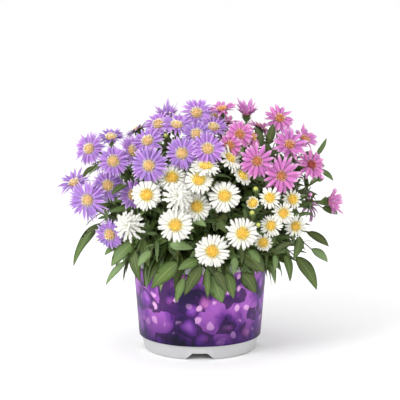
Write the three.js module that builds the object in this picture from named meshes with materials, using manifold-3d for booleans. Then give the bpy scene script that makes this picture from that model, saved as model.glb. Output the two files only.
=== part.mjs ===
// Potted bushy aster: three asters, purple, pink and white, grown together in one nursery pot.
// Millimetres, +Z up. The origin is the centre of the pot's foot, on the surface that it stands on,
// and the front of the plant faces -Y.

import * as THREE from 'three';
import { mergeVertices } from 'three/addons/utils/BufferGeometryUtils.js';
import Module from 'manifold-3d';

const wasm = await Module();
wasm.setup();

// Pot
const POT_HEIGHT = 90;
const POT_SIDES = 24;
const WALL = 1.5;
const FOOT_HEIGHT = 12;
const FOOT_RADIUS_LOW = 51;
const FOOT_RADIUS_HIGH = 53;
const WALL_RADIUS_LOW = 54.1;
const WALL_RADIUS_HIGH = 59.3;
const COLLAR_BASE = 79;
const COLLAR_RADIUS = 65;
const FLOOR_HEIGHT = 7.5;
const NOTCH = { count: 4, topWidth: 13, footWidth: 27.5, height: 5.5, depth: 14 };
const DRAIN = { count: 6, radius: 3.5, ring: 36 };

// Printed sleeve
const SLEEVE_THICKNESS = 0.8;
const SLEEVE_LOW = 12.4;
const SLEEVE_HIGH = 78.6;

// Soil
const SOIL_TOP = 75;
const SOIL_DOME = 3;
const STEM_FOOT = 58;

// Clear space between pieces that touch, and the finest detail that a join keeps
const GAP = 0.3;
const FINEST = 0.2;
const SAME_POINT = 2e-3;
const BLOOM_GAP = 0.5;
const CROSSING = 0.001;
const JOIN_TRIES = 4;
const JOIN_SHIFT = 0.13;

// How the blooms' places are read: across and up lie in the upright picture plane through the
// pot's axis, as seen from the front, and out is how far in front of that plane a bloom stands.
const VIEW_TILT = THREE.MathUtils.degToRad(9);
const VIEW_DISTANCE = 1300;
const VIEW_HEIGHT = 134;

// The bush as a dome that the blooms lie on
const DOME = { halfWidth: 118, halfHeight: 95, depth: 100, middle: 135 };
const BACK_DOME = { halfWidth: 106, halfDepth: 104.5, halfHeight: 88, middle: 124 };

// Stalks and green cups under the blooms
const STEM_RADIUS = { foot: 2.0, top: 1.3 };
const STEM_SIDES = 5;
const STEM_STEPS = 6;
const STALK_RADIUS = 0.95;
const STALK_SIDES = 4;
const STALK_STEPS = 2;
const CUP = { height: 7, waist: 4.5, waistRadius: 2.7, mouthRadius: 3.5, mouth: 0.75 };
const HUB_SAG = 0.4;

// Leaves
const LEAF_THICKNESS = 0.85;
const PETIOLE_HALF_WIDTH = 0.5;
const STALK_ROOM = 4;
const GOLDEN_TURN = THREE.MathUtils.degToRad(137.5);

// Flower kinds: petals round the disc, disc radius, half width of a petal, where it is widest,
// how steeply petals rise, how far they bend back at the tip, and the height of the disc
const KINDS = {
  purple: { petals: 11, disc: 5.4, halfWidth: 1.85, widest: 0.55, rise: 12, sag: 0.22, dome: 2.2, florets: true },
  pink: { petals: 10, disc: 4.2, halfWidth: 2.1, widest: 0.62, rise: 12, sag: 0.2, dome: 1.8, florets: true },
  white: { petals: 11, disc: 5.2, halfWidth: 2.3, widest: 0.78, rise: 8, sag: 0.16, dome: 1.6, florets: true },
  double: { petals: 11, disc: 4.2, halfWidth: 2.3, widest: 0.75, rise: 10, sag: 0.2, dome: 3.4, florets: true },
  small: { petals: 8, disc: 4.3, halfWidth: 1.4, widest: 0.7, rise: 16, sag: 0.2, dome: 2.0 },
  back: { petals: 8, disc: 5, halfWidth: 2.5, widest: 0.6, rise: 14, sag: 0.22, dome: 2.0 },
};
const LAYER_ANGLE = 9;
const PETAL_THICKNESS = 0.9;
const PETAL_UNEVEN = 0.04;
const FLORET_RING = 0.62;

const COLOURS = {
  pot: 0xe4e4e2,
  sleeve: 0x5b2a86,
  soil: 0x2e2018,
  green: 0x4c6b2c,
  purple: 0xa070d8,
  pink: 0xd867c0,
  white: 0xf4f2ec,
  double: 0xf6f5f0,
  small: 0xf1eee6,
};

// Leafy stems: where each stands in the soil (x, y) and where its main stem ends (x, y, z)
const STEMS = {
  purple_left: { foot: [-30, -6], top: [-64, -8, 132], leaves: 4 },
  purple_high_left: { foot: [-22, 8], top: [-46, -4, 160], leaves: 4 },
  purple_middle: { foot: [-10, 2], top: [-18, -14, 168], leaves: 4 },
  purple_top: { foot: [3, 10], top: [2, -8, 172], leaves: 4 },
  purple_back: { foot: [-24, 24], top: [-44, 34, 140], leaves: 4 },
  purple_back_middle: { foot: [-6, 28], top: [-10, 38, 158], leaves: 4 },
  pink_middle: { foot: [15, 2], top: [32, -14, 162], leaves: 4 },
  pink_right: { foot: [27, 2], top: [66, -10, 142], leaves: 4 },
  pink_back_middle: { foot: [10, 26], top: [20, 38, 158], leaves: 4 },
  pink_back: { foot: [26, 22], top: [52, 32, 140], leaves: 4 },
  white_left: { foot: [-20, -20], top: [-34, -42, 122], leaves: 4 },
  white_middle: { foot: [-2, -26], top: [4, -46, 128], leaves: 4 },
  white_right: { foot: [14, -22], top: [30, -44, 112], leaves: 4 },
  white_spray: { foot: [27, -14], top: [58, -36, 112], leaves: 4 },
};

// Front blooms, from the photograph: kind, stem, across, up, nudge out of the dome, radius,
// turn to the right and tilt upwards in degrees, and for some the petals' rise
const BLOOMS = {
  purple_01: ['purple', 'purple_left', -99.5, 180, 2, 16.5, -30, 22],
  purple_02: ['purple', 'purple_high_left', -78, 169, 12, 14.5, 5, 12],
  purple_03: ['purple', 'purple_high_left', -80, 190, -8, 13, -10, 68, 24],
  purple_04: ['purple', 'purple_high_left', -61, 178, -3, 15, 45, 22],
  purple_05: ['purple', 'purple_high_left', -47, 187, 1, 15.5, -20, 38],
  purple_06: ['purple', 'purple_high_left', -46, 165, 12, 17.5, -5, 12],
  purple_07: ['purple', 'purple_middle', -37, 202, -8, 14.5, -15, 45],
  purple_08: ['purple', 'purple_middle', -21, 201, 3, 15, 12, 60, 22],
  purple_09: ['purple', 'purple_middle', -30, 209, -22, 11, -10, 86, 54],
  purple_10: ['purple', 'purple_top', -3, 212, -6, 15.5, 0, 36],
  purple_11: ['purple', 'purple_top', 12, 208, -30, 12, 15, 50, 24],
  purple_12: ['purple', 'purple_middle', -3, 193, 5, 14, -5, 34],
  purple_13: ['purple', 'purple_middle', -16, 176, 8, 15.5, -10, 8],
  purple_14: ['purple', 'purple_top', 7, 180, 10, 16, 5, 30],
  purple_15: ['purple', 'purple_top', 12, 199, -12, 13.5, 20, 55, 26],
  purple_16: ['purple', 'purple_left', -101, 134, 12, 20, -20, 2],
  purple_17: ['purple', 'purple_left', -113, 149, -16, 16, -30, 62, 22],
  purple_18: ['purple', 'purple_left', -83, 147, -6, 15.5, 8, 8],
  purple_19: ['purple', 'purple_left', -60, 139, -16, 14, 12, 4],
  purple_20: ['purple', 'purple_left', -81, 103, -2, 14.5, -20, -6],
  pink_01: ['pink', 'pink_middle', 20, 215, -4, 14, -25, 72, 20],
  pink_02: ['pink', 'pink_middle', 42, 211, -10, 10.5, 10, 80, 52],
  pink_03: ['pink', 'pink_right', 71.5, 207, 0, 14.5, 8, 38],
  pink_04: ['pink', 'pink_middle', 35.5, 193, 8, 12.5, 5, 20],
  pink_05: ['pink', 'pink_middle', 27, 183, 0, 11, -15, 12],
  pink_06: ['pink', 'pink_middle', 46, 191, -6, 12, 70, 25],
  pink_07: ['pink', 'pink_middle', 51, 169, 8, 16, 5, 6],
  pink_08: ['pink', 'pink_right', 80.5, 183, 4, 16, 10, 42, 24],
  pink_09: ['pink', 'pink_right', 94, 188, -14, 12.5, 40, 50, 30],
  pink_10: ['pink', 'pink_right', 73, 156, 10, 17.5, 5, 2],
  pink_11: ['pink', 'pink_right', 100, 165.5, 2, 15, 25, 28],
  pink_12: ['pink', 'pink_right', 116, 133, 14, 13, 76, 2, 45],
  white_01: ['white', 'white_left', -48, 138.5, 8, 13.5, -4, 14],
  white_02: ['white', 'white_left', -25, 154, -3, 13, -2, 24],
  white_03: ['double', 'white_left', -20, 137.5, 9, 14, 0, 16],
  white_04: ['white', 'white_middle', -1, 152, 8, 12.5, 0, 34],
  white_05: ['white', 'white_middle', 5, 164, 9, 13, 8, 66],
  white_06: ['white', 'white_middle', -3, 128, -4, 13, 14, 22],
  white_07: ['white', 'white_middle', 22, 137.5, 4, 14.5, 5, 26],
  white_08: ['white', 'white_left', -22, 111.5, 10, 15.5, -5, 6],
  white_09: ['double', 'white_left', -64, 110.5, 8, 14.5, -18, 12],
  white_10: ['white', 'white_middle', 11, 88, 14, 15.5, 0, 2],
  white_11: ['white', 'white_right', 38, 104, 12, 14.5, 12, 6],
};

// Smaller front blooms that are one piece with their stem
const STEM_BLOOMS = [
  ['small', 'white_middle', 26.5, 171, 0, 13, 56, 42],
  ['small', 'white_middle', 37.5, 155.5, -4, 9.5, 56, 40],
  ['small', 'white_spray', 63, 136, 6, 10, -4, 16],
  ['small', 'white_spray', 83, 134.5, 2, 9, 20, 12],
  ['small', 'white_spray', 75, 122, 8, 10, 10, 8],
  ['small', 'white_spray', 86, 110.5, -2, 10.5, 14, 0],
  ['small', 'white_spray', 64, 111, 2, 10.5, -8, 4],
  ['small', 'white_spray', 57, 96, 0, 8.5, -5, -8],
  ['small', 'white_right', 48, 131, 0, 5.5, -20, 20, 50],
];

// Buds: stem, across, up, nudge out of the dome, radius, height, turn and tilt
const BUDS = [
  ['purple_middle', -30, 190, -6, 2.9, 6, -10, 40],
  ['pink_right', 106, 152, 0, 2.8, 8.5, 40, 30],
  ['pink_right', 97.5, 138, -6, 2.6, 7, 20, 20],
  ['white_right', 50, 142, -2, 3, 6, 0, 40],
  ['white_right', 47, 120, 2, 3.1, 6.5, -5, 45],
  ['white_right', 52, 111, 8, 2.7, 5.5, 5, 20],
  ['white_middle', 4, 142, -10, 3, 6, 0, 50],
];

// Large leaves that show at the front: stem, the leaf's foot (across, up, out), its tip
// (across, up, out) and its width
const SHOWN_LEAVES = [
  ['purple_left', [-90, 113, 20], [-114, 74, 30], 11],
  ['purple_left', [-93, 165, 34], [-106, 154, 44], 5],
  ['purple_left', [-64, 149, 70], [-80, 138, 84], 7],
  ['purple_left', [-66, 79, 40], [-85, 57, 40], 6],
  ['white_left', [-60, 127, 62], [-82, 123, 66], 6],
  ['white_left', [-66, 134, 60], [-84, 133, 62], 5],
  ['white_left', [-66, 100, 50], [-86, 84, 58], 8],
  ['white_left', [-58, 97, 60], [-80, 74, 66], 13],
  ['white_left', [-60, 91, 62], [-54, 60, 66], 10],
  ['white_left', [-50, 99, 70], [-46, 73, 78], 9],
  ['white_left', [-44, 88, 80], [-56, 74, 84], 9],
  ['white_left', [-27, 94, 84], [-6, 90, 92], 10],
  ['white_left', [-20, 78, 82], [-44, 54, 80], 14],
  ['white_left', [-14, 64, 78], [-22, 41, 72], 8],
  ['white_middle', [-2, 80, 86], [-20, 71, 92], 9],
  ['white_middle', [1, 75, 84], [-14, 48, 76], 11],
  ['white_middle', [6, 72, 80], [7, 45, 74], 7],
  ['white_middle', [14, 70, 84], [24, 50, 80], 9],
  ['white_middle', [10, 66, 74], [20, 41, 68], 17],
  ['white_middle', [-14, 123, 92], [6, 110, 96], 10],
  ['white_middle', [14, 118, 84], [24, 104, 94], 9],
  ['white_middle', [24, 122, 82], [14, 106, 92], 8],
  ['white_right', [30, 112, 78], [22, 98, 88], 8],
  ['white_right', [24, 68, 72], [30, 45, 66], 10],
  ['white_right', [38, 87, 76], [58, 69, 74], 16],
  ['white_right', [38, 68, 66], [50, 50, 60], 13],
  ['white_right', [44, 89, 84], [54, 77, 84], 8],
  ['white_right', [31, 83, 80], [30, 66, 80], 7],
  ['white_spray', [67, 85, 56], [67, 69, 58], 6],
  ['white_spray', [76, 86, 46], [81, 60, 50], 8],
  ['white_spray', [86, 83, 34], [105, 53, 38], 12],
  ['white_spray', [90, 101, 44], [84, 80, 50], 9],
  ['pink_right', [96, 105, 26], [116, 92, 30], 8],
  ['pink_right', [100, 90, 18], [115, 78, 22], 8],
  ['pink_right', [104, 173, 8], [114, 190, 8], 5],
  ['pink_right', [106, 162, 20], [120, 151, 26], 6],
  ['pink_right', [110, 127, 24], [124, 121, 24], 7],
  ['pink_right', [60, 184, 44], [66, 203, 38], 8],
  ['pink_middle', [54, 182, 52], [50, 200, 40], 8],
  ['pink_middle', [31, 190, 76], [39, 170, 88], 7],
];

// The hidden back of the bush: rows of blooms on the dome, as height angle and number a side
const BACK_ROWS = [
  { height: 4, count: 4 },
  { height: 28, count: 3 },
  { height: 54, count: 2 },
];
const BACK_RADIUS = 16;

// Seeded random numbers, so that the plant is the same each time
let seed = 20;
function random() {
  seed = (seed * 1664525 + 1013904223) % 4294967296;
  return seed / 4294967296;
}
function spread(low, high) {
  return low + (high - low) * random();
}

const vec = (x, y, z) => new THREE.Vector3(x, y, z);
const radians = THREE.MathUtils.degToRad;

// Solids

function solidFrom(points, triangles) {
  const vertProperties = new Float32Array(points.flatMap((p) => [p.x, p.y, p.z]));
  const triVerts = new Uint32Array(triangles.flat());
  return new wasm.Manifold(new wasm.Mesh({ numProp: 3, vertProperties, triVerts }));
}

// A closed three.js geometry as a solid, turned right side out
function solidOf(geometry) {
  const bare = geometry.clone();
  bare.deleteAttribute('normal');
  bare.deleteAttribute('uv');
  const merged = mergeVertices(bare, SAME_POINT);
  const place = merged.getAttribute('position');
  const points = [];
  for (let i = 0; i < place.count; i += 1) {
    points.push(vec(place.getX(i), place.getY(i), place.getZ(i)));
  }
  const corners = Array.from(merged.getIndex().array);
  const triangles = [];
  let volume = 0;
  for (let i = 0; i < corners.length; i += 3) {
    const [a, b, c] = corners.slice(i, i + 3);
    if (a !== b && b !== c && c !== a) {
      triangles.push([a, b, c]);
      volume += points[a].dot(points[b].clone().cross(points[c]));
    }
  }
  return solidFrom(points, volume > 0 ? triangles : triangles.map(([a, b, c]) => [a, c, b]));
}

function joined(solids) {
  return wasm.Manifold.union(solids);
}

function geometryOf(solid) {
  const { vertProperties, triVerts } = solid.getMesh();
  const geometry = new THREE.BufferGeometry();
  geometry.setAttribute('position', new THREE.Float32BufferAttribute(vertProperties, 3));
  geometry.setIndex(Array.from(triVerts));
  return geometry;
}

// The largest shell of a solid: scraps that a cut leaves are dropped, and sealed hollows filled
function largest(solid) {
  const shells = solidOf(geometryOf(solid.simplify(FINEST))).decompose();
  return shells.reduce((best, shell) => (shell.volume() > best.volume() ? shell : best), shells[0]);
}

function meshOf(name, solid, colour, roughness, at) {
  const geometry = geometryOf(solid).translate(-at.x, -at.y, -at.z);
  geometry.computeVertexNormals();
  const material = new THREE.MeshStandardMaterial({ color: colour, roughness, metalness: 0 });
  const mesh = new THREE.Mesh(geometry, material);
  mesh.name = name;
  mesh.position.copy(at);
  return mesh;
}

// Places

// A point given by its place in the picture plane and its distance in front of that plane
function seenAt(across, up, out) {
  const shrink = 1 - out / VIEW_DISTANCE;
  const rise = (up - VIEW_HEIGHT) * shrink;
  return vec(
    across * shrink,
    rise * Math.sin(VIEW_TILT) - out * Math.cos(VIEW_TILT),
    VIEW_HEIGHT + rise * Math.cos(VIEW_TILT) + out * Math.sin(VIEW_TILT),
  );
}

function domeOut(across, up) {
  const side = across / DOME.halfWidth;
  const level = (up - DOME.middle) / DOME.halfHeight;
  return DOME.depth * Math.sqrt(Math.max(0, 1 - side * side - level * level));
}

function facing(turn, tilt) {
  const flat = Math.cos(radians(tilt));
  return vec(
    Math.sin(radians(turn)) * flat,
    -Math.cos(radians(turn)) * flat,
    Math.sin(radians(tilt)),
  );
}

// Two directions square to a given one, the first of them level
function crossAxes(direction) {
  const steep = Math.abs(direction.z) > 0.98;
  const side = (steep ? vec(1, 0, 0) : vec(0, 0, 1)).cross(direction).normalize();
  return [side, direction.clone().cross(side)];
}

// A round tube through rings of given radius, with flat ends
function tube(centres, radii, sides, grow) {
  const last = centres.length - 1;
  const points = [];
  const triangles = [];
  let [side] = crossAxes(centres[1].clone().sub(centres[0]).normalize());
  centres.forEach((centre, ring) => {
    const before = centres[Math.max(0, ring - 1)];
    const after = centres[Math.min(last, ring + 1)];
    const along = after.clone().sub(before).normalize();
    side = side.clone().addScaledVector(along, -side.dot(along)).normalize();
    const other = along.clone().cross(side);
    const endGrow = ring === 0 ? -grow : ring === last ? grow : 0;
    for (let k = 0; k < sides; k += 1) {
      const angle = (2 * Math.PI * k) / sides;
      points.push(
        centre.clone()
          .addScaledVector(along, endGrow)
          .addScaledVector(side, (radii[ring] + grow) * Math.cos(angle))
          .addScaledVector(other, (radii[ring] + grow) * Math.sin(angle)),
      );
    }
  });
  for (let ring = 0; ring < last; ring += 1) {
    for (let k = 0; k < sides; k += 1) {
      const a = ring * sides + k;
      const b = ring * sides + ((k + 1) % sides);
      triangles.push([a, b, b + sides], [a, b + sides, a + sides]);
    }
  }
  for (let k = 1; k < sides - 1; k += 1) {
    triangles.push([0, k + 1, k]);
    triangles.push([last * sides, last * sides + k, last * sides + k + 1]);
  }
  return solidFrom(points, triangles);
}

// A leaf blade drawn along its midrib to a point: flat above, with the midrib as a keel below
function blade(centres, halfWidths, upward, grow) {
  const last = centres.length - 1;
  const points = [];
  const triangles = [];
  const across = centres[last].clone().sub(centres[last - 2]).cross(upward);
  for (let ring = 0; ring < last; ring += 1) {
    const before = centres[Math.max(0, ring - 1)];
    const along = centres[ring + 1].clone().sub(before).normalize();
    const side = across.clone().addScaledVector(along, -across.dot(along)).normalize();
    const top = side.clone().cross(along);
    const wide = halfWidths[ring] * (1 + grow);
    const edge = centres[ring].clone().addScaledVector(top, grow);
    points.push(edge.clone().addScaledVector(side, -wide));
    points.push(edge.clone().addScaledVector(side, wide));
    points.push(edge.clone().addScaledVector(top, -LEAF_THICKNESS - 2 * grow));
  }
  const tipWay = centres[last].clone().sub(centres[last - 1]).normalize();
  points.push(centres[last].clone().addScaledVector(tipWay, 5 * grow));
  const end = (last - 1) * 3;
  for (let k = 0; k < 3; k += 1) {
    const next = (k + 1) % 3;
    for (let a = 0; a < end; a += 3) {
      triangles.push([a + k, a + next, a + next + 3], [a + k, a + next + 3, a + k + 3]);
    }
    triangles.push([end + k, end + next, last * 3]);
  }
  triangles.push([0, 2, 1]);
  return solidFrom(points, triangles);
}

// Pot

function lathe(profile) {
  const outline = profile.map(([radius, height]) => new THREE.Vector2(radius, height));
  return solidOf(new THREE.LatheGeometry(outline, POT_SIDES).rotateX(Math.PI / 2));
}

function wallRadius(height) {
  const share = (height - FOOT_HEIGHT) / (COLLAR_BASE - FOOT_HEIGHT);
  return WALL_RADIUS_LOW + (WALL_RADIUS_HIGH - WALL_RADIUS_LOW) * share;
}

function potSolid(grow) {
  const shell = lathe([
    [0, FLOOR_HEIGHT],
    [FOOT_RADIUS_HIGH - WALL - 1.2, FLOOR_HEIGHT],
    [FOOT_RADIUS_LOW - WALL, 0],
    [FOOT_RADIUS_LOW + grow, 0],
    [FOOT_RADIUS_HIGH + grow, FOOT_HEIGHT],
    [WALL_RADIUS_LOW + grow, FOOT_HEIGHT],
    [WALL_RADIUS_HIGH + grow, COLLAR_BASE],
    [COLLAR_RADIUS - 1 + grow, COLLAR_BASE - grow],
    [COLLAR_RADIUS + grow, COLLAR_BASE + 1.5],
    [COLLAR_RADIUS + 0.4 + grow, POT_HEIGHT - 0.8],
    [COLLAR_RADIUS - 0.4, POT_HEIGHT + grow],
    [COLLAR_RADIUS - WALL, POT_HEIGHT - 0.8 + grow],
    [COLLAR_RADIUS - WALL - 0.4, COLLAR_BASE + WALL],
    [WALL_RADIUS_HIGH - WALL, COLLAR_BASE],
    [WALL_RADIUS_LOW - WALL, FOOT_HEIGHT],
    [WALL_RADIUS_LOW - WALL - 2, FLOOR_HEIGHT + WALL],
    [0, FLOOR_HEIGHT + WALL],
  ]);
  const cuts = [];
  for (let i = 0; i < NOTCH.count; i += 1) {
    cuts.push(notchSolid((2 * Math.PI * i) / NOTCH.count));
  }
  for (let i = 0; i < DRAIN.count; i += 1) {
    cuts.push(drainSolid((2 * Math.PI * (i + 0.5)) / DRAIN.count));
  }
  return shell.subtract(joined(cuts));
}

// An arched notch in the foot, cut outwards through the foot wall
function notchSolid(turn) {
  const shape = new THREE.Shape();
  shape.moveTo(-NOTCH.footWidth / 2, -1);
  shape.lineTo(NOTCH.footWidth / 2, -1);
  shape.lineTo(NOTCH.topWidth / 2, NOTCH.height);
  shape.lineTo(-NOTCH.topWidth / 2, NOTCH.height);
  shape.closePath();
  const prism = new THREE.ExtrudeGeometry(shape, { depth: NOTCH.depth, bevelEnabled: false });
  prism.rotateX(Math.PI / 2);
  prism.translate(0, -(FOOT_RADIUS_LOW - NOTCH.depth / 2), 0);
  prism.rotateZ(turn);
  return solidOf(prism);
}

function drainSolid(turn) {
  const hole = new THREE.CylinderGeometry(DRAIN.radius, DRAIN.radius, 4 * WALL, 8);
  hole.rotateX(Math.PI / 2);
  hole.translate(DRAIN.ring, 0, FLOOR_HEIGHT);
  hole.rotateZ(turn);
  return solidOf(hole);
}

function sleeveSolid(grow) {
  const inner = GAP - grow;
  const outer = GAP + SLEEVE_THICKNESS + grow;
  return lathe([
    [wallRadius(SLEEVE_LOW) + inner, SLEEVE_LOW - grow],
    [wallRadius(SLEEVE_LOW) + outer, SLEEVE_LOW - grow],
    [wallRadius(SLEEVE_HIGH) + outer, SLEEVE_HIGH + grow],
    [wallRadius(SLEEVE_HIGH) + inner, SLEEVE_HIGH + grow],
    [wallRadius(SLEEVE_LOW) + inner, SLEEVE_LOW - grow],
  ]);
}

function soilSolid() {
  const inner = (height) => wallRadius(height) - WALL - GAP;
  const body = lathe([
    [0, FLOOR_HEIGHT + WALL + GAP],
    [WALL_RADIUS_LOW - WALL - 2 - 2 * GAP, FLOOR_HEIGHT + WALL + GAP],
    [inner(FOOT_HEIGHT + 1), FOOT_HEIGHT + 1],
    [inner(SOIL_TOP - SOIL_DOME), SOIL_TOP - SOIL_DOME],
    [inner(SOIL_TOP) * 0.8, SOIL_TOP - 1],
    [0, SOIL_TOP],
  ]);
  const holes = Object.keys(STEMS).map((stem) => stemSolid(stem, GAP));
  return body.subtract(joined(holes));
}

// Blooms

// Petals in two layers round a raised disc, one ring of points a petal. The petals' roots share
// the disc's rim, so a bloom is one closed body with no joins to cut.
function bloomSolid(bloom, grow) {
  const { kind, centre, direction, radius, phase } = bloom;
  const count = kind.petals;
  const [side, other] = crossAxes(direction);
  const at = (turn, reach, lateral, height) => {
    const out = side.clone().multiplyScalar(Math.cos(turn)).addScaledVector(other, Math.sin(turn));
    const across = other.clone().multiplyScalar(Math.cos(turn)).addScaledVector(side, -Math.sin(turn));
    return centre.clone()
      .addScaledVector(out, reach)
      .addScaledVector(across, lateral)
      .addScaledVector(direction, height);
  };
  const length = radius - kind.disc;
  const step = (2 * Math.PI) / count;
  const points = [];
  for (let k = 0; k < count; k += 1) {
    const turn = phase + step * k;
    const middle = turn + step / 2;
    const rise = Math.tan(radians(bloom.rise + (k % 2 ? LAYER_ANGLE : -LAYER_ANGLE)));
    const lift = (s) => length * (rise * s - kind.sag * s * s);
    const reach = length * (1 - PETAL_UNEVEN * (1 + Math.sin(3.7 * k + 5 * phase)));
    const widest = kind.disc + reach * kind.widest;
    const floor = lift(kind.widest) - grow;
    const wide = kind.halfWidth + 2.2 * grow;
    points.push(
      at(turn, kind.disc + grow, 0, -grow),
      at(middle, kind.disc - 0.3, 0, 1.3 + grow),
      at(middle, widest, wide, floor),
      at(middle, widest, -wide, floor),
      at(middle, widest, 0, lift(kind.widest) + PETAL_THICKNESS + grow),
      at(middle, kind.disc + reach + 3 * grow, 0, lift(1)),
    );
    if (kind.florets) {
      points.push(at(middle, kind.disc * FLORET_RING, 0, 0.6 * kind.dome + 1 + (k % 2 ? 0.5 : 0) + grow));
    }
  }
  const each = points.length / count;
  const top = points.push(at(0, 0, 0, kind.dome + 1.3 + grow)) - 1;
  const bottom = points.push(at(0, 0, 0, -HUB_SAG - grow)) - 1;
  const triangles = [];
  for (let k = 0; k < count; k += 1) {
    const [valley, root, right, left, rib, tip, floret] = [0, 1, 2, 3, 4, 5, 6].map((i) => k * each + i);
    const next = ((k + 1) % count) * each;
    triangles.push(
      [valley, left, rib], [valley, rib, root], [root, rib, next], [next, rib, right],
      [left, tip, rib], [rib, tip, right],
      [valley, next, right], [valley, right, left], [left, right, tip],
      [valley, bottom, next],
    );
    if (kind.florets) {
      triangles.push([valley, root, floret], [root, next, floret], [next, next + 6, floret]);
      triangles.push([floret, next + 6, top]);
    } else {
      triangles.push([valley, root, top], [root, next, top]);
    }
  }
  return solidFrom(points, triangles);
}

// Plan of the plant

const bloomPlan = [];
const budPlan = [];
const leafPlan = [];
const stalkMarks = [];

const ofStem = (plan, stem) => plan.filter((piece) => piece.stem === stem);

function stemFoot(stem) {
  return vec(STEMS[stem].foot[0], STEMS[stem].foot[1], STEM_FOOT);
}

function curvePoint([a, b, c, d], t) {
  const s = 1 - t;
  return a.clone().multiplyScalar(s * s * s)
    .addScaledVector(b, 3 * s * s * t)
    .addScaledVector(c, 3 * s * t * t)
    .addScaledVector(d, t * t * t);
}

// The main stem of a leafy stem: upright out of the soil, then leaning out to its top
function stemCurve(stem) {
  const foot = stemFoot(stem);
  const top = vec(...STEMS[stem].top);
  const lean = top.clone().sub(foot);
  return [
    foot,
    foot.clone().add(vec(0, 0, 40)),
    top.clone().sub(vec(0.3 * lean.x, 0.3 * lean.y, 30)),
    top,
  ];
}

function stemShare(stem, height, low, high) {
  const share = (height - STEM_FOOT) / (STEMS[stem].top[2] - STEM_FOOT);
  return Math.min(high, Math.max(low, share));
}

// The stalk of a bloom or bud: it leaves the main stem below the bloom and meets it from behind
function stalkCurve(stem, seat, direction) {
  const share = stemShare(stem, seat.z - 58, 0.42, 0.97);
  const fork = curvePoint(stemCurve(stem), share);
  const ahead = curvePoint(stemCurve(stem), share + 0.03).sub(fork).normalize();
  const span = seat.distanceTo(fork);
  return [
    fork,
    fork.clone().addScaledVector(ahead, 0.3 * span),
    seat.clone().addScaledVector(direction, -0.35 * span),
    seat,
  ];
}

function planBloom(name, shape, colour, stem, centre, direction, radius, rise) {
  const kind = KINDS[shape];
  const seat = centre.clone().addScaledVector(direction, -CUP.height);
  bloomPlan.push({
    name,
    kind,
    colour,
    stem,
    centre,
    direction,
    radius,
    rise: rise ?? kind.rise,
    phase: spread(0, 1),
    stalk: stalkCurve(stem, seat, direction),
  });
}

function planSeenBloom(name, [shape, stem, across, up, nudge, radius, turn, tilt, rise]) {
  const centre = seenAt(across, up, domeOut(across, up) + nudge);
  planBloom(name, shape, shape, stem, centre, facing(turn, tilt), radius, rise);
}

function planBackBlooms() {
  BACK_ROWS.forEach(({ height, count }) => {
    [-1, 1].forEach((hand) => {
      for (let i = 0; i < count; i += 1) {
        const turn = radians(hand * (((i + 0.5) * 84) / count) + spread(-4, 4));
        const lift = radians(height + spread(-4, 4));
        const out = vec(
          Math.sin(turn) * Math.cos(lift) * BACK_DOME.halfWidth,
          Math.cos(turn) * Math.cos(lift) * BACK_DOME.halfDepth,
          Math.sin(lift) * BACK_DOME.halfHeight,
        );
        const direction = out.clone().add(vec(0, 0, 26)).normalize();
        const colour = hand < 0 ? 'purple' : 'pink';
        const stem = `${colour}_back${Math.abs(turn) < radians(42) ? '_middle' : ''}`;
        const radius = BACK_RADIUS + spread(-1.5, 1.5);
        planBloom(null, 'back', colour, stem, out.add(vec(0, 0, BACK_DOME.middle)), direction, radius);
      }
    });
  });
}

function planBud([stem, across, up, nudge, radius, length, turn, tilt]) {
  const centre = seenAt(across, up, domeOut(across, up) + nudge);
  const direction = facing(turn, tilt);
  budPlan.push({ stem, centre, direction, radius, length, stalk: stalkCurve(stem, centre, direction) });
}

// A point lies in a bloom's space if it is near the plane of its petals
function nearBloom(point) {
  return bloomPlan.some((bloom) => {
    const away = point.clone().sub(bloom.centre);
    const above = away.dot(bloom.direction);
    const aside = Math.sqrt(Math.max(0, away.lengthSq() - above * above));
    const cup = (bloom.radius - bloom.kind.disc) * Math.tan(radians(bloom.rise));
    return aside < bloom.radius + 1.5 && above > -3 && above < 3.5 + cup;
  });
}

function nearPot(point) {
  return point.z < POT_HEIGHT + 3 && Math.hypot(point.x, point.y) < COLLAR_RADIUS + 3;
}

function nearStalk(point) {
  return stalkMarks.some((mark) => mark.distanceTo(point) < STALK_ROOM);
}

// A leaf that shows: a stalk over the rim from the main stem, then the blade
function planShownLeaf([stem, foot, tip, width]) {
  const base = seenAt(...foot);
  const end = seenAt(...tip);
  const before = ofStem(leafPlan, stem).length;
  const root = curvePoint(stemCurve(stem), stemShare(stem, base.z - 14, 0.34 + 0.05 * before, 0.92));
  const span = root.distanceTo(base);
  const outward = vec(base.x, base.y, 0).normalize();
  const stalk = [
    root,
    root.clone().addScaledVector(outward, 0.25 * span).add(vec(0, 0, 0.25 * span)),
    base.clone().addScaledVector(outward, -0.3 * span).add(vec(0, 0, 0.3 * span)),
    base,
  ];
  const length = base.distanceTo(end);
  const bow = base.clone().lerp(end, 0.5)
    .addScaledVector(outward, 0.12 * length).add(vec(0, 0, 0.1 * length));
  const upward = outward.clone().add(vec(0, -0.9, 0.9)).normalize();
  leafPlan.push({ stem, stalk, base, bow, end, width, upward, shown: true });
}

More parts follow.
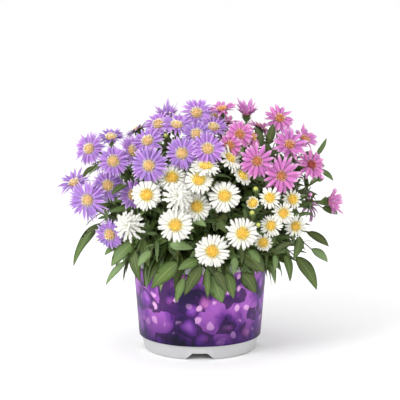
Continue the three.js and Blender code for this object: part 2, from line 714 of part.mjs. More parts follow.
// A leaf of the main stem or a flower stalk, turned round it until it is clear of the blooms
function planLeaf(stem, root, axis, turn, length, width, lift) {
  const [side, other] = crossAxes(axis);
  for (let attempt = 0; attempt < 8; attempt += 1) {
    const angle = turn + radians(45 * attempt);
    const out = side.clone().multiplyScalar(Math.cos(angle)).addScaledVector(other, Math.sin(angle));
    const way = out.multiplyScalar(Math.cos(lift)).addScaledVector(axis, Math.sin(lift)).normalize();
    const end = root.clone().addScaledVector(way, length).add(vec(0, 0, -0.22 * length));
    const bow = root.clone().addScaledVector(way, 0.5 * length).add(vec(0, 0, 0.06 * length));
    const upward = axis.clone().addScaledVector(way, -axis.dot(way)).normalize();
    const probes = [0.45, 0.75, 1].map((t) => bent(root, bow, end, t));
    if (!probes.some((point) => nearBloom(point) || nearPot(point) || nearStalk(point) || outside(point))) {
      leafPlan.push({ stem, base: root, bow, end, width, upward, shown: false });
      return;
    }
  }
}

function outside(point) {
  const side = point.x / BACK_DOME.halfWidth;
  const depth = point.y / BACK_DOME.halfDepth;
  const level = (point.z - BACK_DOME.middle) / BACK_DOME.halfHeight;
  return side * side + depth * depth + level * level > 1.1;
}

function bent(start, middle, end, t) {
  const s = 1 - t;
  return start.clone().multiplyScalar(s * s)
    .addScaledVector(middle, 2 * s * t)
    .addScaledVector(end, t * t);
}

function planStemLeaves(stem) {
  const curve = stemCurve(stem);
  const turn = spread(0, 6);
  for (let i = 0; i < STEMS[stem].leaves; i += 1) {
    const share = 0.4 + (0.56 * i) / (STEMS[stem].leaves - 1);
    const root = curvePoint(curve, share);
    const axis = curvePoint(curve, share + 0.03).sub(root).normalize();
    const length = spread(34, 44) - 10 * share;
    planLeaf(stem, root, axis, turn + GOLDEN_TURN * i, length, 0.24 * length, radians(30));
  }
}

function planStalkLeaf(flower) {
  const root = curvePoint(flower.stalk, 0.45);
  const axis = curvePoint(flower.stalk, 0.5).sub(root).normalize();
  const length = spread(17, 25);
  planLeaf(flower.stem, root, axis, spread(0, 6), length, 0.26 * length, radians(35));
}

Object.entries(BLOOMS).forEach(([name, place]) => planSeenBloom(name, place));
STEM_BLOOMS.forEach((place) => planSeenBloom(null, place));
planBackBlooms();
BUDS.forEach(planBud);
[...bloomPlan, ...budPlan].forEach(({ stalk }) => {
  [0.15, 0.3, 0.45, 0.6, 0.75, 0.9].forEach((t) => stalkMarks.push(curvePoint(stalk, t)));
});
SHOWN_LEAVES.forEach(planShownLeaf);
Object.keys(STEMS).forEach(planStemLeaves);
bloomPlan.filter((bloom, i) => bloom.name && i % 2 === 0).forEach(planStalkLeaf);

// The plant's solids

function stemSolid(stem, grow) {
  const centres = [];
  const radii = [];
  for (let i = 0; i < STEM_STEPS; i += 1) {
    const share = i / (STEM_STEPS - 1);
    centres.push(curvePoint(stemCurve(stem), share));
    radii.push(STEM_RADIUS.foot + (STEM_RADIUS.top - STEM_RADIUS.foot) * share);
  }
  return tube(centres, radii, STEM_SIDES, grow);
}

function stalkPoints(curve) {
  return Array.from({ length: STALK_STEPS + 1 }, (_, i) => curvePoint(curve, i / STALK_STEPS));
}

// A flower stalk that widens into the green cup under its bloom. The cup of a bloom that is one
// piece with its stem goes up into the bloom.
function stalkSolid(bloom, grow) {
  const mouth = bloom.name ? -CUP.mouth : HUB_SAG;
  const centres = stalkPoints(bloom.stalk);
  centres.push(bloom.centre.clone().addScaledVector(bloom.direction, -CUP.waist));
  centres.push(bloom.centre.clone().addScaledVector(bloom.direction, mouth));
  const radii = Array(STALK_STEPS + 1).fill(STALK_RADIUS);
  radii.push(CUP.waistRadius, CUP.mouthRadius);
  return tube(centres, radii, STALK_SIDES, grow);
}

function budSolid(bud, grow) {
  const centres = stalkPoints(bud.stalk);
  const radii = Array(STALK_STEPS + 1).fill(STALK_RADIUS);
  [[0.3, 1], [0.75, 0.85], [1, 0.3]].forEach(([along, wide]) => {
    centres.push(bud.centre.clone().addScaledVector(bud.direction, along * bud.length));
    radii.push(wide * bud.radius);
  });
  return tube(centres, radii, STALK_SIDES, grow);
}

function leafSolid(leaf, grow) {
  const centres = [];
  const halfWidths = [];
  const add = (centre, halfWidth) => {
    centres.push(centre);
    halfWidths.push(halfWidth);
  };
  if (leaf.shown) {
    add(leaf.stalk[0], PETIOLE_HALF_WIDTH);
    add(curvePoint(leaf.stalk, 0.55), PETIOLE_HALF_WIDTH);
  }
  add(leaf.base, PETIOLE_HALF_WIDTH);
  const large = leaf.shown || leaf.width > 6.5;
  const stations = large ? [[0.38, 1], [0.72, 0.78]] : [[0.5, 1]];
  stations.forEach(([t, share]) => {
    add(bent(leaf.base, leaf.bow, leaf.end, t), 0.5 * leaf.width * share);
  });
  centres.push(leaf.end);
  return blade(centres, halfWidths, leaf.upward, grow);
}

function coreSolid(stem, grow) {
  return joined([
    stemSolid(stem, grow),
    ...ofStem(bloomPlan, stem).map((bloom) => stalkSolid(bloom, grow)),
    ...ofStem(budPlan, stem).map((bud) => budSolid(bud, grow)),
  ]);
}

// Edges at which a body only touches itself, so that more than two faces meet there
function touchingEdges(solid) {
  const { vertProperties, triVerts } = solid.getMesh();
  const place = (i) => Array.from(vertProperties.slice(3 * i, 3 * i + 3));
  const key = (i) => place(i).map((value) => Math.round(value / SAME_POINT)).join();
  const edges = new Map();
  for (let i = 0; i < triVerts.length; i += 3) {
    for (let k = 0; k < 3; k += 1) {
      const ends = [triVerts[i + k], triVerts[i + ((k + 1) % 3)]];
      const name = ends.map(key).sort().join(' ');
      const edge = edges.get(name) ?? { faces: 0, ends: ends.map((end) => vec(...place(end))) };
      edge.faces += 1;
      edges.set(name, edge);
    }
  }
  return [...edges.values()].filter(({ faces }) => faces > 2);
}

// A body with one more solid joined to it. A join that only touches along an edge isn't closed
// cleanly, so the added solid is then raised a little, and left off if that doesn't help.
function withAdded(body, added) {
  for (let attempt = 0; attempt < JOIN_TRIES; attempt += 1) {
    const whole = largest(joined([body, added.translate(0, 0, attempt * JOIN_SHIFT)]));
    if (touchingEdges(whole).length === 0) {
      return whole;
    }
  }
  return body;
}

// Pieces of the part: a name, a solid, a colour, how rough it is and its own origin
function piece(name, solid, colour, roughness, at) {
  return { name, solid, colour, roughness, at };
}

function potPieces() {
  return [
    piece('pot_body', potSolid(0), COLOURS.pot, 0.35, vec(0, 0, 0)),
    piece('printed_sleeve', sleeveSolid(0), COLOURS.sleeve, 0.3, vec(0, 0, SLEEVE_LOW)),
    piece('soil', soilSolid(), COLOURS.soil, 0.95, vec(0, 0, FLOOR_HEIGHT)),
  ];
}

// Blooms of their own: each is cut clear of the stems and of the blooms before it
function bloomPieces(kept, cores) {
  return bloomPlan.filter((bloom) => bloom.name).map((bloom) => {
    const cut = bloomSolid(bloom, 0).subtract(joined([...cores, ...kept]));
    kept.push(bloomSolid(bloom, BLOOM_GAP));
    return piece(bloom.name, largest(cut), COLOURS[bloom.colour], 0.7, bloom.centre);
  });
}

// Leafy stems: each core keeps its whole shape, and its leaves and fused blooms are cut clear of
// the pot, the blooms, the other stems' cores and the leaves before them
function stemPieces(blocks, cores) {
  return Object.keys(STEMS).map((stem, i) => {
    const fused = ofStem(bloomPlan, stem).filter((bloom) => !bloom.name);
    const leaves = ofStem(leafPlan, stem);
    const others = cores.filter((_, k) => k !== i);
    const foliage = (grow) => [
      ...fused.map((bloom) => bloomSolid(bloom, grow)),
      ...leaves.map((leaf) => leafSolid(leaf, grow)),
    ];
    const block = joined([...blocks, ...others]);
    const body = foliage(0)
      .map((solid) => solid.subtract(block))
      .reduce(withAdded, largest(coreSolid(stem, 0)));
    blocks.push(joined(foliage(GAP)));
    return piece(`leafy_stem_${stem}`, body, COLOURS.green, 0.75, stemFoot(stem));
  });
}

// A solid cut back by a small box round the place where it crosses another
function cutBack(solid, common) {
  const { min, max } = common.boundingBox();
  const middle = max.map((high, axis) => (high + min[axis]) / 2);
  for (let attempt = 0; ; attempt += 1) {
    const room = 2 * (GAP + attempt * JOIN_SHIFT);
    const size = max.map((high, axis) => high - min[axis] + room);
    const box = solidOf(new THREE.BoxGeometry(...size).translate(...middle));
    const rest = largest(solid.subtract(box));
    if (touchingEdges(rest).length === 0 || attempt === JOIN_TRIES) {
      return rest;
    }
  }
}

// Where two pieces still cross, the later one is cut back
function cutClear(pieces) {
  pieces.forEach((early, i) => {
    pieces.slice(i + 1).forEach((late) => {
      const common = early.solid.intersect(late.solid);
      if (common.volume() > CROSSING) {
        late.solid = cutBack(late.solid, common);
      }
    });
  });
}

function plant() {
  const cores = Object.keys(STEMS).map((stem) => coreSolid(stem, GAP));
  const bloomBlocks = [];
  const blooms = bloomPieces(bloomBlocks, cores);
  const stems = stemPieces([...bloomBlocks, potSolid(GAP), sleeveSolid(GAP)], cores);
  cutClear([...blooms, ...stems]);
  const group = new THREE.Group();
  [...potPieces(), ...stems, ...blooms].forEach(({ name, solid, colour, roughness, at }) => {
    group.add(meshOf(name, solid, colour, roughness, at));
  });
  return group;
}

export default plant();
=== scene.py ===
# Potted bushy aster: purple, pink and white asters grown together in one printed nursery pot.
# Lengths are in millimetres until a mesh is made; the blooms, stems and leaves stand where the
# solid model has them, and each finer piece here takes the place of its solid.

from math import cos, hypot, pi, radians, sin, sqrt, tan
from types import SimpleNamespace

import bpy
import numpy as np
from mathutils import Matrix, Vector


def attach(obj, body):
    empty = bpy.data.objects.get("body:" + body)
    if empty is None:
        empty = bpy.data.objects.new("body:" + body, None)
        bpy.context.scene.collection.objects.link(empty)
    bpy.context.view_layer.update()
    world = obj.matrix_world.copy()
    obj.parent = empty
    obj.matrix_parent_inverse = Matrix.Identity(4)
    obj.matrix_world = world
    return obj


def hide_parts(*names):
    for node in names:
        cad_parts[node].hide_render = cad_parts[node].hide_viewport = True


MM = 0.001
TURN = 2 * pi
GOLDEN_TURN = radians(137.5)

# View of the photograph: tilt of the camera, its distance from the pot's axis, the height that it
# aims at, and the width of the picture at the axis
VIEW_TILT = radians(9)
VIEW_DISTANCE = 1300
VIEW_HEIGHT = 134
VIEW_WIDTH = 360
SENSOR_WIDTH = 36
CLIP_START = 0.05
CLIP_END = 200

# Stage, in metres: reach of the floor, and its depth below the pot; each lamp's place, size and power
FLOOR_REACH = 60.0
FLOOR_GAP = 0.0005
LAMP_AIM = 0.13
LAMPS = {
    'key_light': ((-1.0, -1.2, 1.2), 0.7, 19),
    'fill_light': ((1.1, -1.2, 0.5), 0.9, 3),
}

# Pot, sleeve and soil
POT_SIDES = 144
POT_CREASE = 35
WALL = 1.5
POT_HEIGHT = 90
FOOT_HEIGHT = 12
FOOT_RADIUS_LOW = 51
FOOT_RADIUS_HIGH = 53
WALL_RADIUS_LOW = 54.1
WALL_RADIUS_HIGH = 59.3
COLLAR_BASE = 79
COLLAR_RADIUS = 65
FLOOR_HEIGHT = 7.5
EDGE = 0.5
AXIS_HOLE = 0.02
NOTCHES = 4
NOTCH_TOP = 13
NOTCH_FOOT = 27.5
NOTCH_HEIGHT = 5.5
NOTCH_DEPTH = 14
NOTCH_ROUND = 0.6
DRAINS = 6
DRAIN_RADIUS = 3.5
DRAIN_RING = 36
DRAIN_SIDES = 24
SLEEVE_GAP = 0.3
SLEEVE_THICKNESS = 0.8
SLEEVE_LOW = 12.4
SLEEVE_HIGH = 78.6
SLEEVE_EDGE = 0.2
SLEEVE_CREASE = 40
SOIL_TOP = 75
SOIL_DOME = 3
SOIL_SINK = 0.4
SOIL_SIDES = 96
SOIL_ROWS = 22
SOIL_LUMP = 0.9
SOIL_CREASE = 50
CRUMBS = 220
CRUMB_SIDES = 6
CRUMB_SIZES = (0.7, 2.0)
CRUMB_ROUGH = 0.25
CRUMB = ((-0.4, 0.6), (0, 0.9), (0.45, 0.55))

# The bush as a dome in front and one behind: half the width, depth and height, height of the middle
FRONT_DOME = ((118, 100, 95), 135)
BACK_DOME = ((106, 104.5, 88), 124)
BACK_STARTS = 15

# The hidden back of the bush: rows of blooms by height angle and number a side, the angle that
# they cover a side, the angle from which they belong to the outer stems, and how far they look up
BACK_ROWS = ((4, 4), (28, 3), (54, 2))
BACK_SPREAD = 84
BACK_OUTER = radians(42)
BACK_RADIUS = 16
BACK_LOOK_UP = 26

# Main stems and the stalks off them: a stalk leaves its stem this far below its bloom, between
# these shares of the stem
STEM_FOOT = 58
STEM_RISE = 40
STEM_DROP = 30
STEM_EASE = 0.3
STALK_DROP = 58
STALK_SHARES = (0.42, 0.97)
SHOWN_STALK_DROP = 14
SHOWN_STALK_SHARES = (0.34, 0.05, 0.92)
SHOWN_UPWARD = np.array((0, -2.4, 0.9))

# Round stems: points along them, points round them, radius at the foot and at the top
MAIN_STEM = (18, 9, 2.0, 1.3)
STALK = (11, 6, 1.0, 0.85)
SHOOT = (9, 6, 0.9, 0.5)
LEAF_STALK = (8, 5, 0.75, 0.5)

# Room that leaves leave round a bloom (aside, below, above), a stalk and the pot
BLOOM_ROOM = (1.5, 3, 3.5)
STALK_ROOM = 4
POT_ROOM = 3
STALK_MARKS = (0.15, 0.3, 0.45, 0.6, 0.75, 0.9)
LEAF_PROBES = (0.45, 0.75, 1)
LEAF_TRIES = 8
LEAF_DROOP = 0.22
LEAF_BOW = 0.06

# How far out in the dome each kind of leaf may end
LEAF_LEVEL = 1.1
INNER_LEVEL = 0.85
STALK_LEVEL = 0.96
SHOWN_LEVEL = 1.08
SHOOT_LEVEL = 0.9
SPRIG_LEVEL = 0.95

# Leaves as the solid model has them: number and places up a stem, width as a share of length, then
# range of length, how that shrinks up the stem or the place on the stalk, and lift in degrees
STEM_LEAVES = 4
STEM_LEAF_SHARES = (0.4, 0.96)
STEM_SLIM = 0.24
STALK_SLIM = 0.26
SOLID_STEM_LEAF = ((34, 44), 10, 30)
SOLID_STALK_LEAF = ((17, 25), 0.45, 35)

# Finer leaves and side shoots: places up what they grow from, then range of length, how that
# shrinks up the stem, width as a share of length, and range of lift in degrees; length of the side
# shoots, and how steeply they climb
STEM_LEAF_PLACES = np.arange(0.22, 1.0, 0.05)
STALK_LEAF_PLACES = np.linspace(0.1, 0.88, 10)
SHOOT_PLACES = np.linspace(0.3, 0.97, 24)
SHOOT_LEAF_PLACES = np.linspace(0.25, 1, 8)
STEM_LEAF = ((22, 34), (1, 0), STEM_SLIM, (20, 50))
STALK_LEAF = ((15, 26), (1.15, 0.5), STALK_SLIM, (25, 50))
SHOOT_LEAF = ((17, 27), 0.27, (25, 50))
SHOOT_LENGTHS = (26, 50)
SHOOT_CLIMBS = (0.5, 1.1)

# Leaves over the collar: number and how far each strays from its place, then ranges of radius and
# height at the root, of reach, drift and height at the tip, of height at the bow, and of width;
# then how far up a stem their stalks start, and how they face up and lean
RIM_LEAVES = 68
RIM_PLACE = 0.4
RIM_ROOT = (44, 56)
RIM_ROOT_HEIGHT = (91, 97)
RIM_REACH = (73, 82)
RIM_DRIFT = 9
RIM_TIP_HEIGHT = (64, 86)
RIM_BOW_HEIGHT = (94, 99)
RIM_WIDTH = (9, 15)
RIM_STALKS = (0.34, 0.46)
RIM_FACE_UP = 0.9
RIM_LEAN = 1.1

# A leaf's mesh: rows along a leaf of at least this width and a narrower one, least half width,
# outline as powers of a sine, twist, fold and wave
BROAD_LEAF = 8
BROAD_ROWS = 11
NARROW_ROWS = 7
LEAF_EDGE = 0.5
LEAF_OUTLINE = (0.75, 0.85)
LEAF_TWIST = 0.5
LEAF_FOLD = 0.16
LEAF_WAVE = 0.09
LEAF_WAVES = 9
LEAF_WAVE_SLANT = 1.2
LEAF_THICKNESS = 0.3

# Cups and buds: height and radius up each, as shares on a bud, and their rows of bracts; a cup is
# wider under a larger disc, and its bracts flare more under petals that rise steeply
CUP_HEIGHT = 7
CUP_SIDES = 12
CUP_PROFILE = ((0.0, 0.95), (0.18, 1.7), (0.4, 2.6), (0.65, 3.1), (0.9, 3.5))
CUP_BRACTS = 13
CUP_ROWS = ((0.12, 0.62, 0.55), (0.35, 0.98, 0.3))
CUP_BRACT = 0.62 * np.array((0.8, 1, 0.8, 0.35))
CUP_WIDEST = 1.25
CUP_DISC = 4.4
STEEP_RISE = 40
STEEP_FLARE = 2.2
FLARE = 1.4
BUD_SIDES = 10
BUD_PROFILE = ((0, 0.35), (0.15, 0.85), (0.35, 1), (0.6, 0.9), (0.85, 0.55), (0.97, 0.25))
BUD_CORE = 0.85
BUD_BRACTS = 8
BUD_ROWS = ((0.02, 0.5), (0.1, 0.72))
BUD_BRACT = 0.34 * np.array((1, 1.1, 0.8, 0.35))
BRACT_THICKNESS = 0.25
BRACT_TIP = 0.6

# Flower kinds as the solids have them: disc radius, rise of the petals in degrees, how far they
# bend back, the height of the disc
KINDS = {
    'purple': (5.4, 12, 0.22, 2.2),
    'pink': (4.2, 12, 0.2, 1.8),
    'white': (5.2, 8, 0.16, 1.6),
    'double': (4.2, 10, 0.2, 3.4),
    'small': (4.3, 16, 0.2, 2.0),
    'back': (5, 14, 0.22, 2.0),
}

# Rays of each look: number, rows, half width, place of the widest point, width at the root and
# at the tip as shares, florets in the disc
RAYS = {
    'purple': (44, 3, 1.12, 0.5, 0.5, 0.22, 62),
    'pink': (22, 2, 1.85, 0.64, 0.42, 0.4, 40),
    'white': (50, 3, 1.12, 0.74, 0.6, 0.8, 66),
    'double': (100, 8, 1.2, 0.68, 0.55, 0.75, 0),
    'small': (24, 2, 0.95, 0.65, 0.6, 0.45, 44),
}
BACK_RAYS = 26
BACK_WIDER = 1.1
BACK_FLORETS = 30
RAY_RINGS = 7
RAY_ROOT = 0.8
RAY_TAPER = 2.6
LOW_SAG = 0.16
ROW_ANGLE = 9
ROW_SHORTER = 0.1
BLUNT_TIP = 0.7
RAY_THICKNESS = 0.32
SMALL_RAY_THICKNESS = 0.28
GROOVE = 0.32
GROOVE_FADE = 0.6

# How much one petal differs from the next: place round the flower, reach, width, rise in degrees,
# height, sag, drift to one side, roll, and tint
RAY_PLACE = 0.3
RAY_REACH = (0.76, 1.03)
RAY_WIDTH = (0.8, 1.12)
RAY_RISE = 9
RAY_LIFT = 0.25
RAY_SAG = 0.14
RAY_DRIFT = 0.15
RAY_ROLL = 0.6
RAY_TINT = 0.3

# Double flowers, outer row and change to the inner one: root as a share of the disc, reach, rise;
# then how high the inner row stands in the dome, and how much one petal differs from the next
DOUBLE_ROOT = (0.8, 0.75)
DOUBLE_REACH = (1.1, 0.62)
DOUBLE_RISE = (-6, 56)
DOUBLE_BASE = 0.8
DOUBLE_SHORTEST = 0.88
DOUBLE_TILT = 6

# The disc as a share of the solid's, and its dome from edge to middle
DISC_SHARES = {'purple': 0.77, 'pink': 0.86, 'white': 0.96, 'double': 0.84, 'small': 0.9}
DISC_SIDES = 18
DISC_RINGS = np.linspace(1.04, 0.15, 5)
RED_DISCS = ('pink_11',)

# A floret in the disc: length, height of its tip, and height and radius up it, when open and when
# still closed; the place on the disc from which they are open, and how they lean and differ
OPEN_FLORET = (2.4, 0.7, ((0, 0.7), (0.6, 0.75), (1, 1.15)))
CLOSED_FLORET = (1.3, 1.1, ((0, 0.8), (0.5, 1), (0.85, 0.6)))
OPEN_FROM = 0.45
FLORET_SIDES = 5
FLORET_LENGTHS = (0.7, 1.25)
FLORET_WIDTH = 0.62
FLORET_LEAN = 0.8
FLORET_SCATTER = 0.12
FLORET_MARKS = np.array((0.2, 0.6, 1.0))

# Points round a petal or leaf: place across it, and height as a share of its half thickness
ROUND_ACROSS = np.array((1, 0.5, 0, -0.5, -1, 0))
ROUND_HEIGHT = np.array((0, 0.8, 1, 0.8, 0, -1))

# Where each main stem stands on the soil (x, y), and its top (x, y, z)
STEMS = {
    'purple_left': ((-30, -6), (-64, -8, 132)),
    'purple_high_left': ((-22, 8), (-46, -4, 160)),
    'purple_middle': ((-10, 2), (-18, -14, 168)),
    'purple_top': ((3, 10), (2, -8, 172)),
    'purple_back': ((-24, 24), (-44, 34, 140)),
    'purple_back_middle': ((-6, 28), (-10, 38, 158)),
    'pink_middle': ((15, 2), (32, -14, 162)),
    'pink_right': ((27, 2), (66, -10, 142)),
    'pink_back_middle': ((10, 26), (20, 38, 158)),
    'pink_back': ((26, 22), (52, 32, 140)),
    'white_left': ((-20, -20), (-34, -42, 122)),
    'white_middle': ((-2, -26), (4, -46, 128)),
    'white_right': ((14, -22), (30, -44, 112)),
    'white_spray': ((27, -14), (58, -36, 112)),
}

# Flower heads that are nodes of their own, numbered from 1 in each group: stem, place in the
# picture plane (across, up), nudge off the dome, radius, the way it faces (turn, tilt in degrees),
# and the rise of its petals where that isn't its kind's
BLOOMS = {
    'purple': (
        ('left', -99.5, 180, 2, 16.5, -30, 22),
        ('high_left', -78, 169, 12, 14.5, 5, 12),
        ('high_left', -80, 190, -8, 13, -10, 68, 24),
        ('high_left', -61, 178, -3, 15, 45, 22),
        ('high_left', -47, 187, 1, 15.5, -20, 38),
        ('high_left', -46, 165, 12, 17.5, -5, 12),
        ('middle', -37, 202, -8, 14.5, -15, 45),
        ('middle', -21, 201, 3, 15, 12, 60, 22),
        ('middle', -30, 209, -22, 11, -10, 86, 54),
        ('top', -3, 212, -6, 15.5, 0, 36),
        ('top', 12, 208, -30, 12, 15, 50, 24),
        ('middle', -3, 193, 5, 14, -5, 34),
        ('middle', -16, 176, 8, 15.5, -10, 8),
        ('top', 7, 180, 10, 16, 5, 30),
        ('top', 12, 199, -12, 13.5, 20, 55, 26),
        ('left', -101, 134, 12, 20, -20, 2),
        ('left', -113, 149, -16, 16, -30, 62, 22),
        ('left', -83, 147, -6, 15.5, 8, 8),
        ('left', -60, 139, -16, 14, 12, 4),
        ('left', -81, 103, -2, 14.5, -20, -6),
    ),
    'pink': (
        ('middle', 20, 215, -4, 14, -25, 72, 20),
        ('middle', 42, 211, -10, 10.5, 10, 80, 52),
        ('right', 71.5, 207, 0, 14.5, 8, 38),
        ('middle', 35.5, 193, 8, 12.5, 5, 20),
        ('middle', 27, 183, 0, 11, -15, 12),
        ('middle', 46, 191, -6, 12, 70, 25),
        ('middle', 51, 169, 8, 16, 5, 6),
        ('right', 80.5, 183, 4, 16, 10, 42, 24),
        ('right', 94, 188, -14, 12.5, 40, 50, 30),
        ('right', 73, 156, 10, 17.5, 5, 2),
        ('right', 100, 165.5, 2, 15, 25, 28),
        ('right', 116, 133, 14, 13, 76, 2, 45),
    ),
    'white': (
        ('left', -48, 138.5, 8, 13.5, -4, 14),
        ('left', -25, 154, -3, 13, -2, 24),
        ('left', -20, 137.5, 9, 14, 0, 16),
        ('middle', -1, 152, 8, 12.5, 0, 34),
        ('middle', 5, 164, 9, 13, 8, 66),
        ('middle', -3, 128, -4, 13, 14, 22),
        ('middle', 22, 137.5, 4, 14.5, 5, 26),
        ('left', -22, 111.5, 10, 15.5, -5, 6),
        ('left', -64, 110.5, 8, 14.5, -18, 12),
        ('middle', 11, 88, 14, 15.5, 0, 2),
        ('right', 38, 104, 12, 14.5, 12, 6),
    ),
}
DOUBLE_BLOOMS = ('white_03', 'white_09')

# Small white heads that belong to their stems, given in the same way
STEM_BLOOMS = (
    ('middle', 26.5, 171, 0, 13, 56, 42),
    ('middle', 37.5, 155.5, -4, 9.5, 56, 40),
    ('spray', 63, 136, 6, 10, -4, 16),
    ('spray', 83, 134.5, 2, 9, 20, 12),
    ('spray', 75, 122, 8, 10, 10, 8),
    ('spray', 86, 110.5, -2, 10.5, 14, 0),
    ('spray', 64, 111, 2, 10.5, -8, 4),
    ('spray', 57, 96, 0, 8.5, -5, -8),
    ('right', 48, 131, 0, 5.5, -20, 20, 50),
)

# Buds: stem, across, up, nudge, radius, length, turn, tilt
BUDS = (
    ('purple_middle', -30, 190, -6, 2.9, 6, -10, 40),
    ('pink_right', 106, 152, 0, 2.8, 8.5, 40, 30),
    ('pink_right', 97.5, 138, -6, 2.6, 7, 20, 20),
    ('white_right', 50, 142, -2, 3, 6, 0, 40),
    ('white_right', 47, 120, 2, 3.1, 6.5, -5, 45),
    ('white_right', 52, 111, 8, 2.7, 5.5, 5, 20),
    ('white_middle', 4, 142, -10, 3, 6, 0, 50),
)

# Leaves that stand out: foot and tip (across, up, distance in front of the plane), width
SHOWN_LEAVES = {
    'purple_left': (
        (-90, 113, 20, -114, 74, 30, 11),
        (-93, 165, 34, -106, 154, 44, 5),
        (-64, 149, 70, -80, 138, 84, 7),
        (-66, 79, 40, -85, 57, 40, 6),
    ),
    'white_left': (
        (-60, 127, 62, -82, 123, 66, 6),
        (-66, 134, 60, -84, 133, 62, 5),
        (-66, 100, 50, -86, 84, 58, 8),
        (-58, 97, 60, -80, 74, 66, 13),
        (-60, 91, 62, -54, 60, 66, 10),
        (-50, 99, 70, -46, 73, 78, 9),
        (-44, 88, 80, -56, 74, 84, 9),
        (-27, 94, 84, -6, 90, 92, 10),
        (-20, 78, 82, -44, 54, 80, 14),
        (-14, 64, 78, -22, 41, 72, 8),
    ),
    'white_middle': (
        (-2, 80, 86, -20, 71, 92, 9),
        (1, 75, 84, -14, 48, 76, 11),
        (6, 72, 80, 7, 45, 74, 7),
        (14, 70, 84, 24, 50, 80, 9),
        (10, 66, 74, 20, 41, 68, 17),
        (-14, 123, 92, 6, 110, 96, 10),
        (14, 118, 84, 24, 104, 94, 9),
        (24, 122, 82, 14, 106, 92, 8),
    ),
    'white_right': (
        (30, 112, 78, 22, 98, 88, 8),
        (24, 68, 72, 30, 45, 66, 10),
        (38, 87, 76, 58, 69, 74, 16),
        (38, 68, 66, 50, 50, 60, 13),
        (44, 89, 84, 54, 77, 84, 8),
        (31, 83, 80, 30, 66, 80, 7),
    ),
    'white_spray': (
        (67, 85, 56, 67, 69, 58, 6),
        (76, 86, 46, 81, 60, 50, 8),
        (86, 83, 34, 105, 53, 38, 12),
        (90, 101, 44, 84, 80, 50, 9),
    ),
    'pink_right': (
        (96, 105, 26, 116, 92, 30, 8),
        (100, 90, 18, 115, 78, 22, 8),
        (104, 173, 8, 114, 190, 8, 5),
        (106, 162, 20, 120, 151, 26, 6),
        (110, 127, 24, 124, 121, 24, 7),
        (60, 184, 44, 66, 203, 38, 8),
    ),
    'pink_middle': (
        (54, 182, 52, 50, 200, 40, 8),
        (31, 190, 76, 39, 170, 88, 7),
    ),
}


# Seeded random numbers: the first source draws as the solid model does, the second is for looks
class Draws:
    def __init__(self, seed):
        self.seed = seed

    def share(self):
        self.seed = (self.seed * 1664525 + 1013904223) % 4294967296
        return self.seed / 4294967296

    def between(self, low, high):
        return low + (high - low) * self.share()


plan_draws = Draws(20)
looks = np.random.default_rng(11)


def vec(x, y, z):
    return np.array((x, y, z), float)


RIGHT = vec(1, 0, 0)
BACK = vec(0, 1, 0)
UP = vec(0, 0, 1)


# Directions, places and curves


def unit(v):
    return v / np.linalg.norm(v)


def units(rows):
    return rows / np.linalg.norm(rows, axis=1)[:, None]


def heading(centres):
    """The way that a row of points goes on at each of them"""
    return units(np.gradient(centres, axis=0))


def cross_axes(direction):
    """Two directions square to a given one, the first of them level"""
    start = RIGHT if abs(direction[2]) > 0.98 else UP
    side = unit(np.cross(start, direction))
    return side, np.cross(direction, side)


def spoke(turn, side, other):
    """The direction at a turn from one axis to another, and the one square to it"""
    out = cos(turn) * side + sin(turn) * other
    return out, cos(turn) * other - sin(turn) * side


def circle(count, side, other):
    angles = np.arange(count) * TURN / count
    return np.outer(np.cos(angles), side) + np.outer(np.sin(angles), other)


def stack(foot, axis, sections, count):
    """Rings of points round an axis, from their heights and radii"""
    ring = circle(count, *cross_axes(axis))
    return np.array([foot + height * axis + radius * ring for height, radius in sections])


def curve_point(curve, t):
    a, b, c, d = curve
    s = 1 - t
    return s * s * s * a + 3 * s * s * t * b + 3 * s * t * t * c + t * t * t * d


def bent(start, middle, end, t):
    s = 1 - t
    return s * s * start + 2 * s * t * middle + t * t * end


def branch(curve, share, step=0.03):
    """A point on a curve, and the way that the curve goes on from there"""
    root = curve_point(curve, share)
    return root, unit(curve_point(curve, share + step) - root)


def seen_at(across, up, out):
    """A point given by its place in the picture plane and its distance in front of that plane"""
    shrink = 1 - out / VIEW_DISTANCE
    rise = (up - VIEW_HEIGHT) * shrink
    return vec(
        across * shrink,
        rise * sin(VIEW_TILT) - out * cos(VIEW_TILT),
        VIEW_HEIGHT + rise * cos(VIEW_TILT) + out * sin(VIEW_TILT),
    )


def dome_out(across, up):
    """How far in front of the picture plane the dome of blooms lies"""
    (half_width, half_depth, half_height), middle = FRONT_DOME
    side = across / half_width
    level = (up - middle) / half_height
    return half_depth * sqrt(max(0, 1 - side * side - level * level))


def spread(point, dome):
    """How far out a point lies in a dome: 1 on its surface"""
    halves, middle = dome
    side, depth, height = (point - middle * UP) / halves
    return side * side + depth * depth + height * height


def beyond(point, level):
    """Whether a point lies outside the bush, or so far inside as the level says"""
    return spread(point, BACK_DOME if point[1] > BACK_STARTS else FRONT_DOME) > level


def facing(turn, tilt):
    turn, tilt = radians(turn), radians(tilt)
    flat = cos(tilt)
    return vec(sin(turn) * flat, -cos(turn) * flat, sin(tilt))


# Plan of the plant, as the solid model has it

bloom_plan = []
bud_plan = []
leaf_plan = []
stalk_marks = []
shoot_plan = []


def stem_curve(stem):
    foot = vec(*STEMS[stem][0], STEM_FOOT)
    top = vec(*STEMS[stem][1])
    lean = STEM_EASE * (top - foot)
    return foot, foot + STEM_RISE * UP, top - vec(lean[0], lean[1], STEM_DROP), top


def stem_share(stem, height, low, high):
    share = (height - STEM_FOOT) / (STEMS[stem][1][2] - STEM_FOOT)
    return min(high, max(low, share))


def stalk_curve(stem, seat, axis):
    share = stem_share(stem, seat[2] - STALK_DROP, *STALK_SHARES)
    fork, ahead = branch(stem_curve(stem), share)
    span = np.linalg.norm(seat - fork)
    return fork, fork + 0.3 * span * ahead, seat - 0.35 * span * axis, seat


